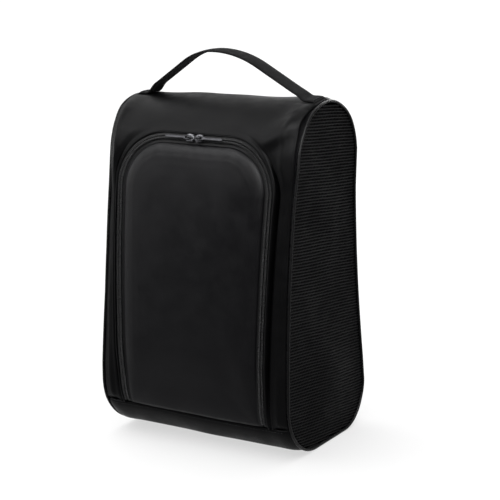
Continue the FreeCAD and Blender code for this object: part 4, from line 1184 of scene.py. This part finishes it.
def strap_line():
    """The strap's middle line in XZ, from its left end to its right end."""
    halves = {}
    for side, (radius, rise, foot_radius) in BENDS.items():
        turn = np.linspace(0, rise, 14)
        bend = np.column_stack([PEAK[0] + side * radius * np.sin(turn),
                                PEAK[1] - radius + radius * np.cos(turn)])
        drop = bend[-1][1] - FOOT_HEIGHT
        corner = bend[-1][0] + side * drop / math.tan(rise)
        pull_back = foot_radius * math.tan(rise / 2)
        centre = (corner + side * pull_back, FOOT_HEIGHT + foot_radius)
        low_turn = np.linspace(rise, 0, 10)
        low = np.column_stack([centre[0] - side * foot_radius * np.sin(low_turn),
                               centre[1] - foot_radius * np.cos(low_turn)])
        run = bend[-1] + np.linspace(0, 1, 26)[1:-1, None] * (low[0] - bend[-1])
        end = np.linspace(low[-1], (side * STRAP_END, FOOT_HEIGHT), 14)[1:]
        halves[side] = np.vstack([bend, run, low, end])
    return np.vstack([halves[-1][::-1], halves[1][1:]])


def crown_height(x, y):
    """Height of the shell's outer face near the top of the crown."""
    s = CROWN_TOP + CROWN_RADIUS * np.arcsin((y - CROWN[0]) / (CROWN_RADIUS + 1.5))
    x = np.asarray(np.clip(x, -SHELL_SIDE, SHELL_SIDE), float)
    return place(x, s, front_lift(x, s))[..., 2]


def foot_drop(x):
    """The strap's last few millimetres turn down."""
    return 1.6 * smooth((np.abs(x) - TURNS_DOWN) / 4.5)


def strap():
    line = strap_line()
    reach = lengths(line)
    fine = np.linspace(0, reach[-1], 150)
    line = np.column_stack([np.interp(fine, reach, line[:, k]) for k in (0, 1)])
    ahead = unit(np.gradient(line, axis=0))
    across, up = STRAP_SECTION.T
    rows = []
    for (x, z), (nz, nx) in zip(line, ahead):
        # The sewn ends lie down on the crown, and the middle of the strap curls a little.
        curl = STRAP_CURL * (1 - smooth((CURL_FROM - z) / 10))
        y = STRAP_Y + across * STRAP_HALF_WIDTH
        lift = up * STRAP_HALF * 0.9 - curl * across ** 2
        resting = crown_height(x, y) + STRAP_HALF + up * STRAP_HALF * 0.9
        free = z + nz * lift
        higher = resting + STRAP_SOFT * np.logaddexp(0, (free - resting) / STRAP_SOFT)
        aim = higher + (resting - higher) * smooth((abs(x) - LIES_DOWN) / 14)
        height = free + (aim - free) * smooth((abs(x) - MEETS_CROWN) / 12) - foot_drop(x)
        rows.append(np.column_stack([x - nx * lift, y, height]))
    girth = lengths(STRAP_SECTION * [STRAP_HALF_WIDTH, STRAP_HALF])
    piece = grid_piece("handle_webbing", [(np.array(rows), pairs(fine[:, None], girth))], None,
                       WEBBING, ("handle_strap", "handle_foot_left", "handle_foot_right"), False,
                       TUBE, caps=-1)
    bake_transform(piece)


strap()


# ------------------------------------------------------------------ thread
THREAD_STEP, THREAD_RADIUS, THREAD_SWING, BAR_INSET, BAR_LIFT = 0.55, 0.24, 0.5, 0.45, 0.15


def thread_bars():
    """Two dense bars of zigzag thread that hold each sewn end of the strap."""
    (last, y_low, _), (first, y_high, _) = np.array(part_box("handle_tacks_right")) / MM
    turns = np.arange(0, (y_high - y_low) / THREAD_STEP)
    ys = y_low + THREAD_STEP * turns
    for side, label in ((-1, "left"), (1, "right")):
        lines = []
        for middle in (first - BAR_INSET, last + BAR_INSET):
            xs = side * (middle + THREAD_SWING * np.where(turns % 2, 1, -1))
            zs = crown_height(xs, ys) + 2 * STRAP_HALF + BAR_LIFT - foot_drop(xs)
            lines.append(np.column_stack([xs, ys, zs]))
        points, faces = gather(*(tube(line, THREAD_RADIUS, 5) for line in lines))
        new_piece("thread_bars_" + label, points, faces, None, "bag_body", THREAD,
                  ("handle_tacks_" + label,))


thread_bars()
seam_row("stitch_base_front", FRONT_START - 3.0 + ROUND, base_lift)
seam_row("stitch_base_back", BACK_END + 3.0, base_lift)
seam_row("stitch_back_top", FRONT_END + 3.0, back_lift)


# ------------------------------------------------------------------ floor, light and camera
FLOOR_HALF = 12.0
FLOOR_GLOW = 0.62
SOFTBOX_SIZE, SOFTBOX_AWAY, AIM = (0.9, 0.7), 1.5, Vector((0, 0, 0.22))
CAMERA_AT = (0.995, -1.622, 0.654)
CAMERA_FORWARD, CAMERA_ROLL = Vector((-0.4996, 0.8347, -0.2318)), math.radians(-1.26)
SENSOR_WIDTH, LENS = 36.0, 129.8


def linked(name, data):
    thing = bpy.data.objects.new(name, data)
    bpy.context.scene.collection.objects.link(thing)
    return thing


def floor():
    mesh = bpy.data.meshes.new("floor")
    corners = [(x * FLOOR_HALF, y * FLOOR_HALF, 0) for x, y in ((-1, -1), (1, -1), (1, 1), (-1, 1))]
    mesh.from_pydata(corners, [], [(0, 1, 2, 3)])
    # The floor glows a little, as a lit table does, so the bag's shadow on it stays faint.
    paint = Paint("pale_floor", Specular_IOR_Level=0.0, Roughness=1.0,
                  Emission_Strength=FLOOR_GLOW)
    paint.link(paint.ramp(paint.noise(3, 2, 0.5), (0.3, 0.35), (0.7, 0.37)), "Base Color")
    mesh.materials.append(paint.material)
    linked("floor", mesh)


def softbox(name, azimuth, elevation, power):
    """A soft panel that only glosses the cloth, so that it throws no shadow on the floor."""
    light = bpy.data.lights.new(name, "AREA")
    light.shape = "RECTANGLE"
    light.size, light.size_y = SOFTBOX_SIZE
    light.energy = power
    turn, up = math.radians(azimuth), math.radians(elevation)
    toward = Vector((math.cos(turn) * math.cos(up), math.sin(turn) * math.cos(up), math.sin(up)))
    lamp = linked(name, light)
    lamp.location = AIM + toward * SOFTBOX_AWAY
    lamp.rotation_euler = (-toward).to_track_quat("-Z", "Y").to_euler()
    lamp.visible_diffuse = False


def studio(toward, low, high, dim, bright):
    """A white room whose light comes mostly from one soft direction overhead."""
    world = bpy.data.worlds.new("studio")
    world.use_nodes = True
    nodes, link = world.node_tree.nodes, world.node_tree.links.new
    background = nodes["Background"]
    dot = nodes.new("ShaderNodeVectorMath")
    dot.operation = "DOT_PRODUCT"
    dot.inputs[1].default_value = Vector(toward).normalized()
    spread = nodes.new("ShaderNodeMapRange")
    spread.interpolation_type = "SMOOTHSTEP"
    for socket, value in zip(("From Min", "From Max", "To Min", "To Max"),
                             (low, high, dim, bright)):
        spread.inputs[socket].default_value = value
    strength = nodes.new("ShaderNodeMix")
    strength.inputs["B"].default_value = 1.0
    link(nodes.new("ShaderNodeTexCoord").outputs["Generated"], dot.inputs[0])
    link(dot.outputs["Value"], spread.inputs["Value"])
    link(nodes.new("ShaderNodeLightPath").outputs["Is Camera Ray"], strength.inputs["Factor"])
    link(spread.outputs["Result"], strength.inputs["A"])
    link(strength.outputs["Result"], background.inputs["Strength"])
    background.inputs["Color"].default_value = (1, 1, 1, 1)
    bpy.context.scene.world = world


floor()
for name, azimuth, elevation, power in (
        ("left_front_softbox", 240, 42, 25), ("front_softbox", 300, 42, 32),
        ("right_front_softbox", 330, 42, 18), ("right_softbox", 352, 48, 30),
        ("low_left_softbox", 205, 14, 9), ("top_softbox", 200, 65, 9),
        ("back_softbox", 98, 15, 10)):
    softbox(name, azimuth, elevation, power)
studio((-0.35, 0.05, 0.93), 0.22, 0.86, 0.10, 2.15)
bpy.context.scene.view_settings.view_transform = "Standard"

camera = bpy.data.cameras.new("camera")
camera.sensor_width, camera.lens = SENSOR_WIDTH, LENS
camera_object = linked("camera", camera)
camera_object.location = CAMERA_AT
forward = CAMERA_FORWARD.normalized()
right = forward.cross(Vector((0, 0, 1))).normalized()
up = right.cross(forward)
rolled_right = right * math.cos(CAMERA_ROLL) + up * math.sin(CAMERA_ROLL)
rolled_up = up * math.cos(CAMERA_ROLL) - right * math.sin(CAMERA_ROLL)
camera_object.rotation_mode = "QUATERNION"
camera_object.rotation_quaternion = Matrix(
    [rolled_right, rolled_up, -forward]).transposed().to_quaternion()
bpy.context.scene.camera = camera_object

bpy.context.view_layer.update()
